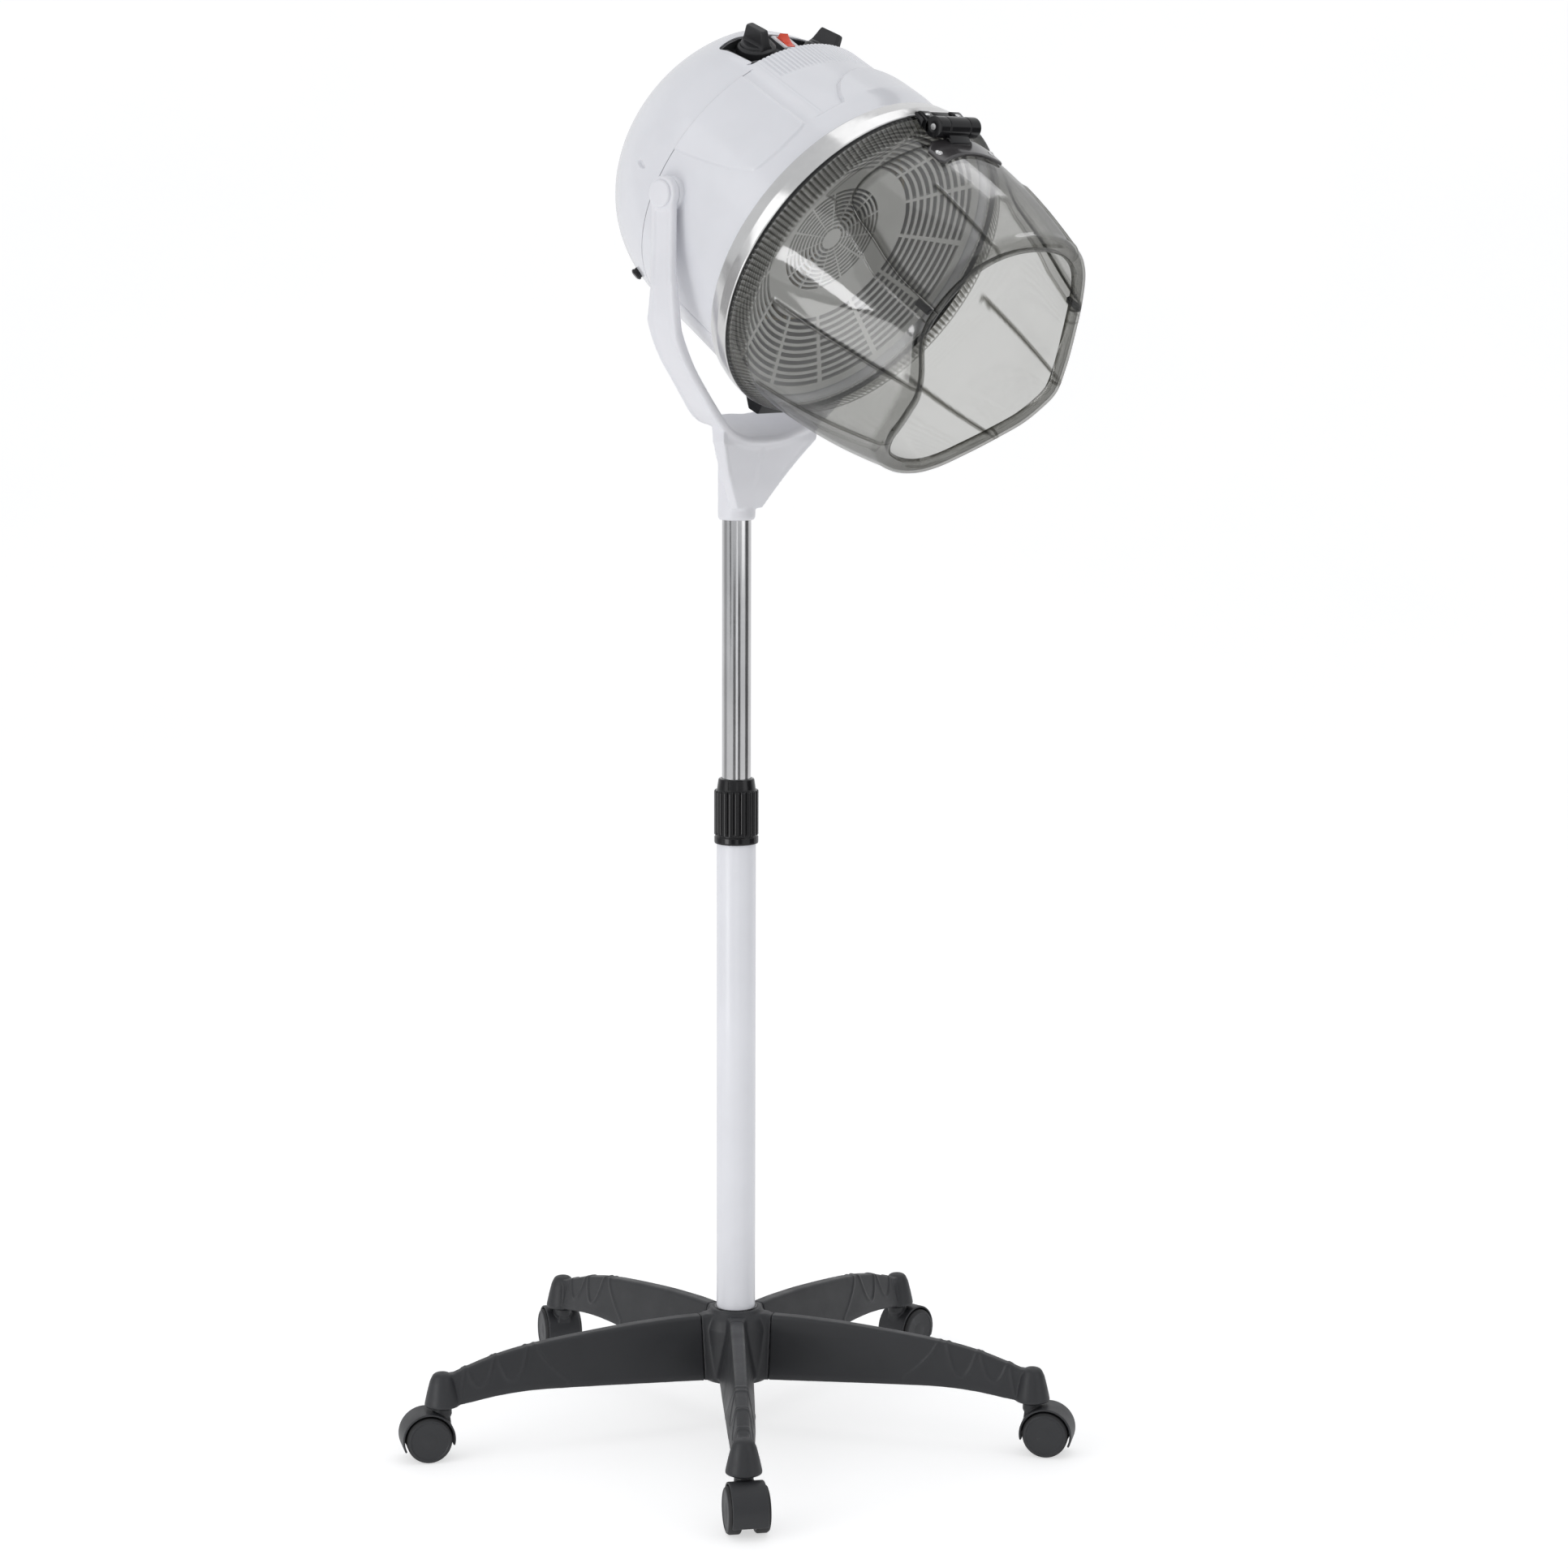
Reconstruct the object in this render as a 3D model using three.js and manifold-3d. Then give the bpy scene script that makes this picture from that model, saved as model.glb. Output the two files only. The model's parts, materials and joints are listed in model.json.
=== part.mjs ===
// Hood hair dryer on a five-leg caster stand.
// Millimetres, +Z up. The origin is on the floor, at the centre of the box that encloses
// the dryer; everything is drawn about the column, which stands at COLUMN_AT.
// The hood opens towards -Y and tilts on an axis along X.
import * as THREE from 'three';
import { mergeVertices } from 'three/addons/utils/BufferGeometryUtils.js';
import Module from 'manifold-3d';

const wasm = await Module();
wasm.setup();

// ---------------------------------------------------------------- driving dimensions
const GAP = 0.3; // clearance between neighbouring pieces
const COLUMN_AT = [-14.315, 17.49, 0];

// five-leg base; angles in degrees from +X
const LEG_COUNT = 5;
const FIRST_LEG = 224.4;
const LEG_ANGLES = Array.from(
  { length: LEG_COUNT },
  (_, i) => (FIRST_LEG + (360 / LEG_COUNT) * i) % 360,
);
const STEM_CIRCLE_R = 300; // circle of the caster stems
const HUB_R = 37;
const HUB_TOP = 121.3;
const HUB_BOTTOM = 49.5;
const LEG_START = 38.3; // leg shoulder, just outside the hub's stub
const TONGUE_HALF = 9; // tongue of the leg, inside the hub
const TONGUE_BOTTOM = 66;
const TONGUE_TOP = 98;

// twin-wheel casters
const SWIVELS = [232.7, 300.7, 0.9, 58.5, 146.1]; // trailing directions, degrees from +X
const WHEEL_R = 22;
const AXLE_OFFSET = 15;
const CASTER_TOP = 49.3;
const WEB_HALF = 6.3; // half width of the housing between the wheels

// column and telescopic tube
const COLUMN_R = 19;
const COLUMN_BOTTOM = 70.2;
const COLUMN_TOP = 600;
const COLUMN_FIT = 0.4; // clearance around the column
const COLUMN_BORE_R = COLUMN_R + COLUMN_FIT;
const TUBE_R = 14;
const TUBE_BOTTOM = 360;
const TUBE_TOP = 957.5;
const TUBE_WALL = 1.5; // wall of the column and of the tube
const LOCK_BOTTOM = 585;
const LOCK_TOP = 648.5;
const LOCK_R = 21.6;
const LOCK_TEETH = 16;

// yoke
const SOCKET_BOTTOM = 898.5;
const SOCKET_TOP = 974;
const SOCKET_R = 18;
const YOKE_IN = 155; // inner face of each arm at the pivot
const YOKE_OUT = 162;

// Hood: pivot centre, and tilt of the hood's axis below the horizontal.
// Names in _A are distances ahead of the pivot along that axis; names in _U are above it.
const PIVOT_Y = -56.54;
const PIVOT_Z = 1205.7;
const TILT = 32.3;
const WALL = 3;

// rear dome, a superellipse of revolution about the hood's axis
const DOME_R = 147.61;
const DOME_LENGTH = 132.14;
const DOME_EXPONENT = 2.35;
const DOME_A = -10.49; // widest section
const SEAM_A = -22;
const REAR_END_A = SEAM_A - GAP / 2;
const FRONT_START_A = SEAM_A + GAP / 2;

// flattened crown and control panel
const CROWN_R = 336; // radius across the crown
const CROWN_U = 119.5; // its height at CROWN_A
const CROWN_A = -86;
const CROWN_SLOPE = 0.2; // rise per unit forward
const PANEL_R = 130; // radius of the panel's floor
const PANEL_AXIS_U = -12;
const PANEL_A = -64; // where the panel's floor has its stated height
const KNOB_X = 43;
const KNOB_A = -61.5;
const KNOB_U = 111.4;
const ROCKER_A = -70.1;
const ROCKER_U = 116.5;

// cord outlet, through the lower rear
const CORD_A = -42;
const CORD_ANGLE = -140; // degrees from the top, towards +X

// trim ring, visor collar and visor
const RING_A0 = 94.3;
const RING_BULGE_A = 108;
const RING_A1 = 119.8;
const FRONT_END_A = RING_A1 - 0.2;
const COLLAR_END_A = 139;
const VISOR_R = 151; // radius where the visor meets its collar
const VISOR_WALL = 3;
const VISOR_BULGE = 5; // outward bow halfway to the mouth
// Visor mouth: degrees from the top, distance from the axis, distance ahead of the pivot.
const RIM = [
  [0, 133, 292],
  [32, 132.5, 290],
  [54, 123.5, 289],
  [70, 117, 292],
  [87, 106, 304],
  [100, 104, 309],
  [112, 105.2, 305],
  [123, 108.5, 299],
  [136, 114, 289],
  [152, 121, 279.5],
  [166, 124.4, 277],
  [180, 125.4, 277],
];
const DOORWAY_HALF = 63; // half angle of the doorway in the visor
const DOORWAY_A = 153.8; // hinge-side edge of the doorway
const HINGE_A = 145;
const HINGE_U = 161.5;
const HINGE_R = 9.8;
const HINGE_HALF = 28; // half width of the fixed leaf
const KNUCKLE_HALF = 13.7; // half width of the door leaf's knuckle
const KNUCKLE_SPACE = 14.2; // half width of the space it turns in

// heater
const COIL_R = 70;
const COIL_A = 46;

// ---------------------------------------------------------------- materials
const LOOKS = {
  white: { color: 0xe9eaee, roughness: 0.25, metalness: 0 },
  white_soft: { color: 0xe4e4ea, roughness: 0.45, metalness: 0 },
  white_coat: { color: 0xe0e0e6, roughness: 0.4, metalness: 0.1 },
  chrome: { color: 0xb8b8b6, roughness: 0.18, metalness: 1 },
  steel: { color: 0x8d8f92, roughness: 0.35, metalness: 1 },
  smoke: { color: 0x8a8b82, roughness: 0.12, metalness: 0 },
  black: { color: 0x1c1c1e, roughness: 0.35, metalness: 0 },
  black_matt: { color: 0x323335, roughness: 0.6, metalness: 0 },
  dark_grey: { color: 0x4c4d50, roughness: 0.5, metalness: 0 },
  red: { color: 0xd9471f, roughness: 0.3, metalness: 0 },
  pale_grey: { color: 0xb7b9bb, roughness: 0.5, metalness: 0 },
  mica: { color: 0xc7b68c, roughness: 0.7, metalness: 0 },
};

// ---------------------------------------------------------------- solids
const WELD = 1e-3; // vertices closer than this are merged

const rad = (degrees) => (degrees * Math.PI) / 180;

// A geometry as a closed manifold solid, turned the right way out.
function solid(geometry) {
  const source = geometry.index ? geometry.toNonIndexed() : geometry;
  const bare = new THREE.BufferGeometry();
  bare.setAttribute('position', source.getAttribute('position'));
  const merged = mergeVertices(bare, WELD);
  const positions = merged.attributes.position;
  const corner = (i) => new THREE.Vector3().fromBufferAttribute(positions, i);
  const index = merged.index.array;
  const triangles = [];
  let volume = 0;
  for (let i = 0; i < index.length; i += 3) {
    const [first, second, third] = index.slice(i, i + 3);
    if (first === second || second === third || first === third) continue;
    triangles.push(first, second, third);
    volume += corner(first).dot(corner(second).cross(corner(third)));
  }
  if (volume < 0) {
    for (let i = 0; i < triangles.length; i += 3) {
      [triangles[i + 1], triangles[i + 2]] = [triangles[i + 2], triangles[i + 1]];
    }
  }
  return new wasm.Manifold(new wasm.Mesh({
    numProp: 3,
    vertProperties: new Float32Array(positions.array),
    triVerts: new Uint32Array(triangles),
  }));
}

function toGeometry(body) {
  const mesh = body.getMesh();
  const geometry = new THREE.BufferGeometry();
  geometry.setAttribute('position', new THREE.Float32BufferAttribute(mesh.vertProperties, 3));
  geometry.setIndex(new THREE.Uint32BufferAttribute(mesh.triVerts, 1));
  return geometry;
}

function add(parent, name, body, look) {
  const mesh = new THREE.Mesh(
    toGeometry(body).toNonIndexed(),
    new THREE.MeshStandardMaterial({ ...LOOKS[look], flatShading: true }),
  );
  mesh.geometry.computeVertexNormals();
  mesh.name = name;
  parent.add(mesh);
}

const moved = (body, matrix) => solid(toGeometry(body).applyMatrix4(matrix));
const turnedY = (body, degrees) => moved(body, new THREE.Matrix4().makeRotationY(rad(degrees)));
const turnedZ = (body, degrees) => moved(body, new THREE.Matrix4().makeRotationZ(rad(degrees)));

function box(xFrom, xTo, yFrom, yTo, zFrom, zTo) {
  const geometry = new THREE.BoxGeometry(xTo - xFrom, yTo - yFrom, zTo - zFrom);
  return solid(geometry.translate((xFrom + xTo) / 2, (yFrom + yTo) / 2, (zFrom + zTo) / 2));
}

// Cylinder along Z, or a cone where topRadius is given.
function cylZ(radius, zFrom, zTo, segments, { topRadius = radius, x = 0 } = {}) {
  const geometry = new THREE.CylinderGeometry(topRadius, radius, zTo - zFrom, segments);
  return solid(geometry.rotateX(Math.PI / 2).translate(x, 0, (zFrom + zTo) / 2));
}

// Cylinder along X, centred on (y, z).
function cylX(radius, xFrom, xTo, y, z, segments) {
  const geometry = new THREE.CylinderGeometry(radius, radius, xTo - xFrom, segments);
  return solid(geometry.rotateZ(Math.PI / 2).translate((xFrom + xTo) / 2, y, z));
}

// Geometry of revolution about Y from a profile of [radius, y].
function latheY(profile, segments) {
  const points = profile.map(([radius, y]) => new THREE.Vector2(radius, y));
  return new THREE.LatheGeometry(points, segments);
}

// Solid of revolution about Z from a profile of [radius, z].
const latheZ = (profile, segments) => solid(latheY(profile, segments).rotateX(Math.PI / 2));

const closed = (points) => [...points, points[0]];

// Points mirrored in x = 0, in reverse order so that they carry on an outline.
const mirrored = (points) => points.map(([x, other]) => [-x, other]).reverse();

// Points along an arc, angles in degrees.
function arcPoints([x, y], radius, from, to, steps) {
  return Array.from({ length: steps + 1 }, (_, i) => {
    const angle = rad(from + ((to - from) * i) / steps);
    return [x + radius * Math.cos(angle), y + radius * Math.sin(angle)];
  });
}

function extruded(points, depth) {
  const shape = new THREE.Shape(points.map(([x, y]) => new THREE.Vector2(x, y)));
  return new THREE.ExtrudeGeometry(shape, { depth, bevelEnabled: false });
}

// Prisms: outline in X-Z extruded along Y, in Y-Z along X, and in X-Y along Z.
function prismY(points, yFrom, yTo) {
  return solid(extruded(points, yTo - yFrom).rotateX(Math.PI / 2).translate(0, yTo, 0));
}

function prismX(points, xFrom, xTo) {
  const axes = new THREE.Matrix4().set(0, 0, 1, xFrom, 1, 0, 0, 0, 0, 1, 0, 0, 0, 0, 0, 1);
  return solid(extruded(points, xTo - xFrom).applyMatrix4(axes));
}

function prismZ(points, zFrom, zTo) {
  return solid(extruded(points, zTo - zFrom).translate(0, 0, zFrom));
}

// Shear that raises z by slope for each unit of y past yZero.
const shearZ = (slope, yZero) =>
  new THREE.Matrix4().set(1, 0, 0, 0, 0, 1, 0, 0, 0, slope, 1, -slope * yZero, 0, 0, 0, 1);

// The same in the hood's frame: x across, y = -a (a ahead, out of the mouth), z = u (up).
const latheA = (profile, segments) =>
  solid(latheY(profile.map(([radius, a]) => [radius, -a]), segments));
const prismA = (pointsXU, aFrom, aTo) => prismY(pointsXU, -aTo, -aFrom);
const prismAcross = (pointsAU, xFrom, xTo) =>
  prismX(pointsAU.map(([a, u]) => [-a, u]), xFrom, xTo);
const prismU = (pointsXA, uFrom, uTo) => prismZ(pointsXA.map(([x, a]) => [x, -a]), uFrom, uTo);
const boxA = (xFrom, xTo, aFrom, aTo, uFrom, uTo) => box(xFrom, xTo, -aTo, -aFrom, uFrom, uTo);

// Kite standing on the hood's upper side, symmetrical about its middle plane.
function topWedge({ half, footU, reach, tipU, aFrom, aTo }) {
  const x = reach * Math.sin(rad(half));
  const u = footU + reach * Math.cos(rad(half));
  return prismA([[0, footU], [-x, u], [0, tipU], [x, u]], aFrom, aTo);
}

const root = new THREE.Group();
root.name = 'hood_hair_dryer';
root.position.set(...COLUMN_AT);

// ---------------------------------------------------------------- hub and legs
function baseHub() {
  const seat = COLUMN_BOTTOM - COLUMN_FIT;
  let hub = latheZ(closed([
    [12, HUB_BOTTOM], [33, HUB_BOTTOM], [HUB_R - 2, 56], [HUB_R - 2, 104], [30, 112],
    [25.5, HUB_TOP], [COLUMN_BORE_R, HUB_TOP], [COLUMN_BORE_R, seat], [12, seat],
  ]), 40);
  const stub = prismY([[24, 51], [38, 53], [38, 115], [26, 117]], -17, 17);
  for (const angle of LEG_ANGLES) hub = hub.add(turnedZ(stub, angle));
  hub = hub.subtract(cylZ(COLUMN_BORE_R, seat, 140, 40));
  const pocketHalf = TONGUE_HALF + GAP;
  const pocket = box(24, 42, -pocketHalf, pocketHalf, TONGUE_BOTTOM - GAP, TONGUE_TOP + GAP);
  for (const angle of LEG_ANGLES) hub = hub.subtract(turnedZ(pocket, angle));
  return hub;
}

// One leg along +X.
function baseLeg() {
  // Side outline, [x, z]: out along the bottom, back along the top.
  const sideOutline = [
    [38.3, 53], [130, 57.5], [214, 60.5], [250, 58], [272, 54.5], [286, 51.3],
    [286, 83.5], [262, 91], [240, 97], [214, 103], [175, 108], [130, 112], [85, 115], [38.3, 116],
  ];
  // Plan outline: x, half width.
  const halfWidths = [[LEG_START, 17], [120, 15.5], [220, 13.5], [280, 10.5], [300, 9]];
  const plan = [...halfWidths.map(([x, half]) => [x, -half]), ...halfWidths.slice().reverse()];
  const flaredCap = [[0, 51.3], [17, 51.3], [14.2, 66], [11.5, 77], [8, 83], [0, 84.6]];
  const capBridge = [[285, 60], [285, 84.6], [292, 84.4], [300, 80], [300, 60]];
  return prismY(sideOutline, -30, 30)
    .intersect(prismZ(plan, 40, 130))
    .add(latheZ(flaredCap, 18).translate([STEM_CIRCLE_R, 0, 0]))
    .add(prismY(capBridge, -8, 8))
    .add(box(24.4, LEG_START + 4, -TONGUE_HALF, TONGUE_HALF, TONGUE_BOTTOM, TONGUE_TOP))
    .subtract(cylZ(5.55, 40, 78.5, 12, { x: STEM_CIRCLE_R }));
}

add(root, 'base_hub', baseHub(), 'black_matt');

const leg = baseLeg();
LEG_ANGLES.forEach((angle, i) => {
  const group = new THREE.Group();
  group.rotation.z = rad(angle);
  root.add(group);
  add(group, `base_leg_${i + 1}`, leg, 'black_matt');
});

// ---------------------------------------------------------------- casters
// Drawn with the stem at the origin, trailing towards +X, the axle along Y.
const onAxle = (body) => body.translate([AXLE_OFFSET, 0, WHEEL_R]);
const axleCylinder = (radius, yFrom, yTo, segments) =>
  onAxle(turnedZ(cylX(radius, yFrom, yTo, 0, 0, segments), 90));

function casterHousing() {
  const axle = [AXLE_OFFSET, WHEEL_R];
  const cover = prismY(
    [...arcPoints(axle, 25.9, -28, 196, 10), ...arcPoints(axle, 23.5, 196, -28, 10)], -17, 17,
  );
  const web = prismY(
    [...arcPoints(axle, 24, 0, 180, 8), ...arcPoints(axle, 12, 180, 360, 5)],
    -WEB_HALF, WEB_HALF,
  );
  const neck = cylZ(9.5, 36, CASTER_TOP, 14, { topRadius: 9 })
    .subtract(axleCylinder(24, WEB_HALF, 30, 20))
    .subtract(axleCylinder(24, -30, -WEB_HALF, 20));
  return cover.add(web).add(neck)
    .add(box(-9, 6, -WEB_HALF, WEB_HALF, 25, 42))
    .subtract(cylZ(4.35, 26.5, 60, 12))
    .subtract(axleCylinder(3.35, -40, 40, 12));
}

// One wheel, on the +Y (side = 1) or -Y (side = -1) side of the web.
function casterWheel(side) {
  const profile = closed([
    [3.3, 6.8], [WHEEL_R, 6.8], [WHEEL_R, 18], [20.4, 20.2], [0, 20.2], [0, 18.4], [3.3, 18.4],
  ]);
  return onAxle(solid(latheY(profile.map(([radius, y]) => [radius, side * y]), 18)));
}

const casterStem = latheZ([
  [0, 27], [4, 27], [4, 49.7], [7, 49.7], [7, 50.9], [5.2, 50.9], [5.2, 78], [0, 78],
], 12);
const casterParts = [
  ['stem', casterStem, 'steel'],
  ['housing', casterHousing(), 'black_matt'],
  ['axle', axleCylinder(3, -18, 18, 12), 'steel'],
  ['wheel_left', casterWheel(1), 'black_matt'],
  ['wheel_right', casterWheel(-1), 'black_matt'],
];
LEG_ANGLES.forEach((degrees, i) => {
  const angle = rad(degrees);
  const group = new THREE.Group();
  group.position.set(STEM_CIRCLE_R * Math.cos(angle), STEM_CIRCLE_R * Math.sin(angle), 0);
  group.rotation.z = rad(SWIVELS[i]);
  root.add(group);
  for (const [part, body, look] of casterParts) add(group, `caster_${part}_${i + 1}`, body, look);
});

// ---------------------------------------------------------------- column
function pipe(radius, bottom, top, segments) {
  const inner = radius - TUBE_WALL;
  const profile = [[inner, bottom], [radius, bottom], [radius, top], [inner, top]];
  return latheZ(closed(profile), segments);
}

function columnBush() {
  const bore = TUBE_R + 0.35;
  const plug = COLUMN_R - 1.8;
  const flange = COLUMN_R - 0.1;
  const flangeBottom = COLUMN_TOP + 0.4;
  return latheZ(closed([
    [bore, 520], [plug, 520], [plug, flangeBottom], [flange, flangeBottom], [flange, 604],
    [17.1, 604.2], [16.4, 629], [bore, 629],
  ]), 24);
}

// Toothed grip between a plain skirt and a tapered top.
function heightLockCollar() {
  // One tooth: part of the pitch, radius.
  const tooth = [[-0.36, LOCK_R], [0, LOCK_R + 0.15], [0.36, LOCK_R], [0.5, LOCK_R - 1.3]];
  const outline = [];
  for (let k = 0; k < LOCK_TEETH; k++) {
    for (const [part, radius] of tooth) {
      const angle = ((k + part) / LOCK_TEETH) * 2 * Math.PI;
      outline.push([radius * Math.cos(angle), radius * Math.sin(angle)]);
    }
  }
  const taper = [[0, 633.8], [20.6, 633.8], [19.6, 638], [16.6, LOCK_TOP], [0, LOCK_TOP]];
  const bore = [
    [0, 560], [COLUMN_BORE_R, 560], [COLUMN_BORE_R, 604.8], [17.6, 606], [17.6, 631],
    [TUBE_R + 0.5, 635], [TUBE_R + 0.5, 700], [0, 700],
  ];
  return prismZ(outline, 592, 634)
    .add(cylZ(LOCK_R, LOCK_BOTTOM, 592.2, 28))
    .add(latheZ(taper, 28))
    .subtract(latheZ(bore, 24));
}

add(root, 'outer_column', pipe(COLUMN_R, COLUMN_BOTTOM, COLUMN_TOP, 40), 'white_coat');
add(root, 'column_bush', columnBush(), 'black');
add(root, 'height_lock_collar', heightLockCollar(), 'black');
add(root, 'upper_tube', pipe(TUBE_R, TUBE_BOTTOM, TUBE_TOP, 24), 'chrome');

// ---------------------------------------------------------------- yoke
function yokeBody() {
  // Front view of one half, [x, z]: up the outer edge, back down the inner edge.
  const frontHalf = [
    [0, 966], [18, 966], [50, 974], [70, 984], [84, 1006], [124, 1048], [153, 1087],
    [162, 1124], [YOKE_OUT, 1160], [YOKE_OUT, 1206],
    [YOKE_IN, 1206], [YOKE_IN, 1160], [153, 1124], [143, 1087], [113, 1048], [72, 1007],
    [49, 990], [25, 981], [0, 978],
  ];
  // Plan of one half, [x, y]: out along the rear edge, back along the front edge.
  const planHalf = [
    [12, 22], [65, 1], [84, -8], [124, -17], [153, -27], [161, -36], [170, -40.5],
    [170, -72.5], [155, -69], [148, -62], [113, -57], [72, -48], [40, -40], [12, -38],
  ];
  // Room above the saddle's upper face, [x, z].
  const aboveSaddle = [
    [-60, 985], [-49, 990], [-25, 981], [0, 978], [25, 981], [49, 990], [60, 985],
    [60, 1010], [-60, 1010],
  ];
  // The shear makes the saddle slope down towards the front.
  const sloped = (points) => moved(prismY(points, -110, 60), shearZ(0.36, -38));
  const plan = prismZ([...planHalf, ...mirrored(planHalf)], 880, 1221);

  let yoke = sloped([...frontHalf, ...mirrored(frontHalf.slice(1, -1))])
    .intersect(plan)
    .subtract(box(-200, 200, -200, 200, PIVOT_Z, 1400));
  for (const [xFrom, xTo] of [[-YOKE_OUT, -YOKE_IN], [YOKE_IN, YOKE_OUT]]) {
    yoke = yoke.add(cylX(16, xFrom, xTo, PIVOT_Y, PIVOT_Z, 32));
  }

  // Front gusset plate, rising from the socket to the arms: front view, then side view.
  const gussetFront = [[-18, 912], [18, 912], [66, 975], [60, 990], [-60, 990], [-66, 975]];
  const gussetSide = [[-47, 992], [-47, 978], [-17, 906], [-4, 906], [-31, 976], [-31, 992]];
  const gusset = prismY(gussetFront, -60, 20)
    .intersect(prismX(gussetSide, -90, 90))
    .intersect(plan);
  yoke = yoke.add(gusset.subtract(sloped(aboveSaddle)));

  const middleRib = [[15, 940], [19, 968], [18, 990], [-30, 974], [-20, 940]];
  const socket = [
    [0, SOCKET_BOTTOM], [SOCKET_R - 2.5, SOCKET_BOTTOM], [SOCKET_R, 903],
    [SOCKET_R, SOCKET_TOP], [0, SOCKET_TOP],
  ];
  return yoke
    .add(prismX(middleRib, -7, 7))
    .add(latheZ(socket, 32))
    .subtract(cylZ(TUBE_R + GAP, 880, TUBE_TOP + 0.5, 36))
    .subtract(cylX(5.3, -200, 200, PIVOT_Y, PIVOT_Z, 24));
}

add(root, 'yoke', yokeBody(), 'white_soft');

// ---------------------------------------------------------------- rear shell
const hood = new THREE.Group();
hood.position.set(0, PIVOT_Y, PIVOT_Z);
hood.rotation.x = rad(TILT);
root.add(hood);

const crownShear = (aZero) => shearZ(-CROWN_SLOPE, -aZero);

// Profile from the dome's pole to aEnd, moved in by inset.
function domeProfile(inset, aEnd, steps) {
  const radius = DOME_R - inset;
  const length = DOME_LENGTH - inset;
  const power = 2 / DOME_EXPONENT;
  const endPart = (DOME_A - aEnd) / length;
  const points = [[0, DOME_A - length]];
  for (let k = 1; k <= steps; k++) {
    const angle = ((k / steps) * Math.PI) / 2;
    const part = Math.pow(Math.cos(angle), power);
    if (part <= endPart + 0.02) break; // too close to the end point
    points.push([radius * Math.pow(Math.sin(angle), power), DOME_A - part * length]);
  }
  points.push([radius * Math.pow(1 - Math.pow(endPart, DOME_EXPONENT), 1 / DOME_EXPONENT), aEnd]);
  return points;
}

// Solid above the flattened crown, `drop` below its surface.
function aboveCrown(drop, aEnd) {
  const points = [];
  for (let k = 0; k <= 8; k++) {
    const x = -150 + 37.5 * k;
    points.push([x, CROWN_U - drop - (x * x) / (2 * CROWN_R)]);
  }
  points.push([150, 260], [-150, 260]);
  return moved(prismA(points, -125, aEnd), crownShear(CROWN_A));
}

// Solid dome with its crown cut flat.
function crownedDome({ inset, aEnd, steps, segments, crownEnd }) {
  return latheA([...domeProfile(inset, aEnd, steps), [0, aEnd]], segments)
    .subtract(aboveCrown(inset, crownEnd));
}

// Prism through the panel opening, its edges moved in by inset.
function openingPrism(inset, top) {
  const x = 82 - inset;
  const front = -31 - inset;
  const corner = -75 + inset;
  const rear = -86 + inset;
  return prismU([
    [-x, front], [-x, corner], [-50, rear], [0, -90 + inset], [50, rear], [x, corner], [x, front],
  ], 60, top);
}

// Places a geometry drawn along +Y so that it points outwards at the cord outlet.
const atCord = (geometry) =>
  solid(geometry.rotateX(Math.PI / 2).rotateY(rad(CORD_ANGLE)).translate(0, -CORD_A, 0));

function rearShell() {
  const outer = crownedDome({
    inset: 0, aEnd: REAR_END_A, steps: 9, segments: 40, crownEnd: -29,
  });
  const inner = crownedDome({
    inset: WALL, aEnd: SEAM_A + 0.5, steps: 6, segments: 32, crownEnd: -25,
  });
  let shell = outer.subtract(inner).subtract(openingPrism(0, 200));
  const [postRear, postFront, postCircle] = [-138, -66, 25]; // motor posts
  for (const angle of [30, 150, 270].map(rad)) {
    const post = new THREE.CylinderGeometry(4.5, 4.5, postFront - postRear, 10).translate(
      postCircle * Math.cos(angle), -(postRear + postFront) / 2, postCircle * Math.sin(angle),
    );
    shell = shell.add(solid(post));
  }
  const cordHole = new THREE.CylinderGeometry(5.4, 5.4, 60, 14).translate(0, 145, 0);
  return shell.subtract(atCord(cordHole));
}

add(hood, 'rear_shell', rearShell(), 'white');

// ---------------------------------------------------------------- controls
// Seat of a knob: side -1 is towards -X, 1 towards +X; local +Z is the knob's axis.
function knobSeat(side) {
  const axis = new THREE.Vector3(side * 0.323, 0.195, 0.926).normalize();
  const turn = new THREE.Quaternion().setFromUnitVectors(new THREE.Vector3(0, 0, 1), axis);
  const matrix = new THREE.Matrix4().makeRotationFromQuaternion(turn);
  return matrix.setPosition(side * KNOB_X, -KNOB_A, KNOB_U);
}

// Solid below the panel's curved floor.
function floorBlock(radius) {
  const arc = arcPoints([0, PANEL_AXIS_U], radius, 150, 30, 14);
  return moved(prismA(arc, -120, -10), crownShear(PANEL_A));
}

function controlPanel() {
  const surface = crownedDome({
    inset: 0.8, aEnd: SEAM_A - 2, steps: 9, segments: 40, crownEnd: -20,
  });
  const tray = openingPrism(2.9, 160).subtract(floorBlock(PANEL_R));
  let panel = openingPrism(0.4, 150)
    .intersect(surface)
    .subtract(floorBlock(PANEL_R - WALL))
    .subtract(tray)
    .add(boxA(-12, 12, -81, -59, 113, 121)) // frame around the rocker
    .subtract(boxA(-6.2, 6.2, ROCKER_A - 9.3, ROCKER_A + 9.3, 90, 140));
  for (const side of [-1, 1]) {
    panel = panel.subtract(moved(cylZ(3.7, -20, 20, 10), knobSeat(side)));
  }
  return panel;
}

function knobBody() {
  const dial = [[0, 0.6], [19.2, 0.6], [18.2, 9.8], [15.5, 10.2], [15, 12.5], [0, 12.5]];
  const grip = [[-15.5, 9], [15.5, 9], [12, 28], [-12, 28]];
  return latheZ(dial, 20).add(prismX(grip, -4.8, 4.8)).add(cylZ(3.1, -15, 2, 10));
}

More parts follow.
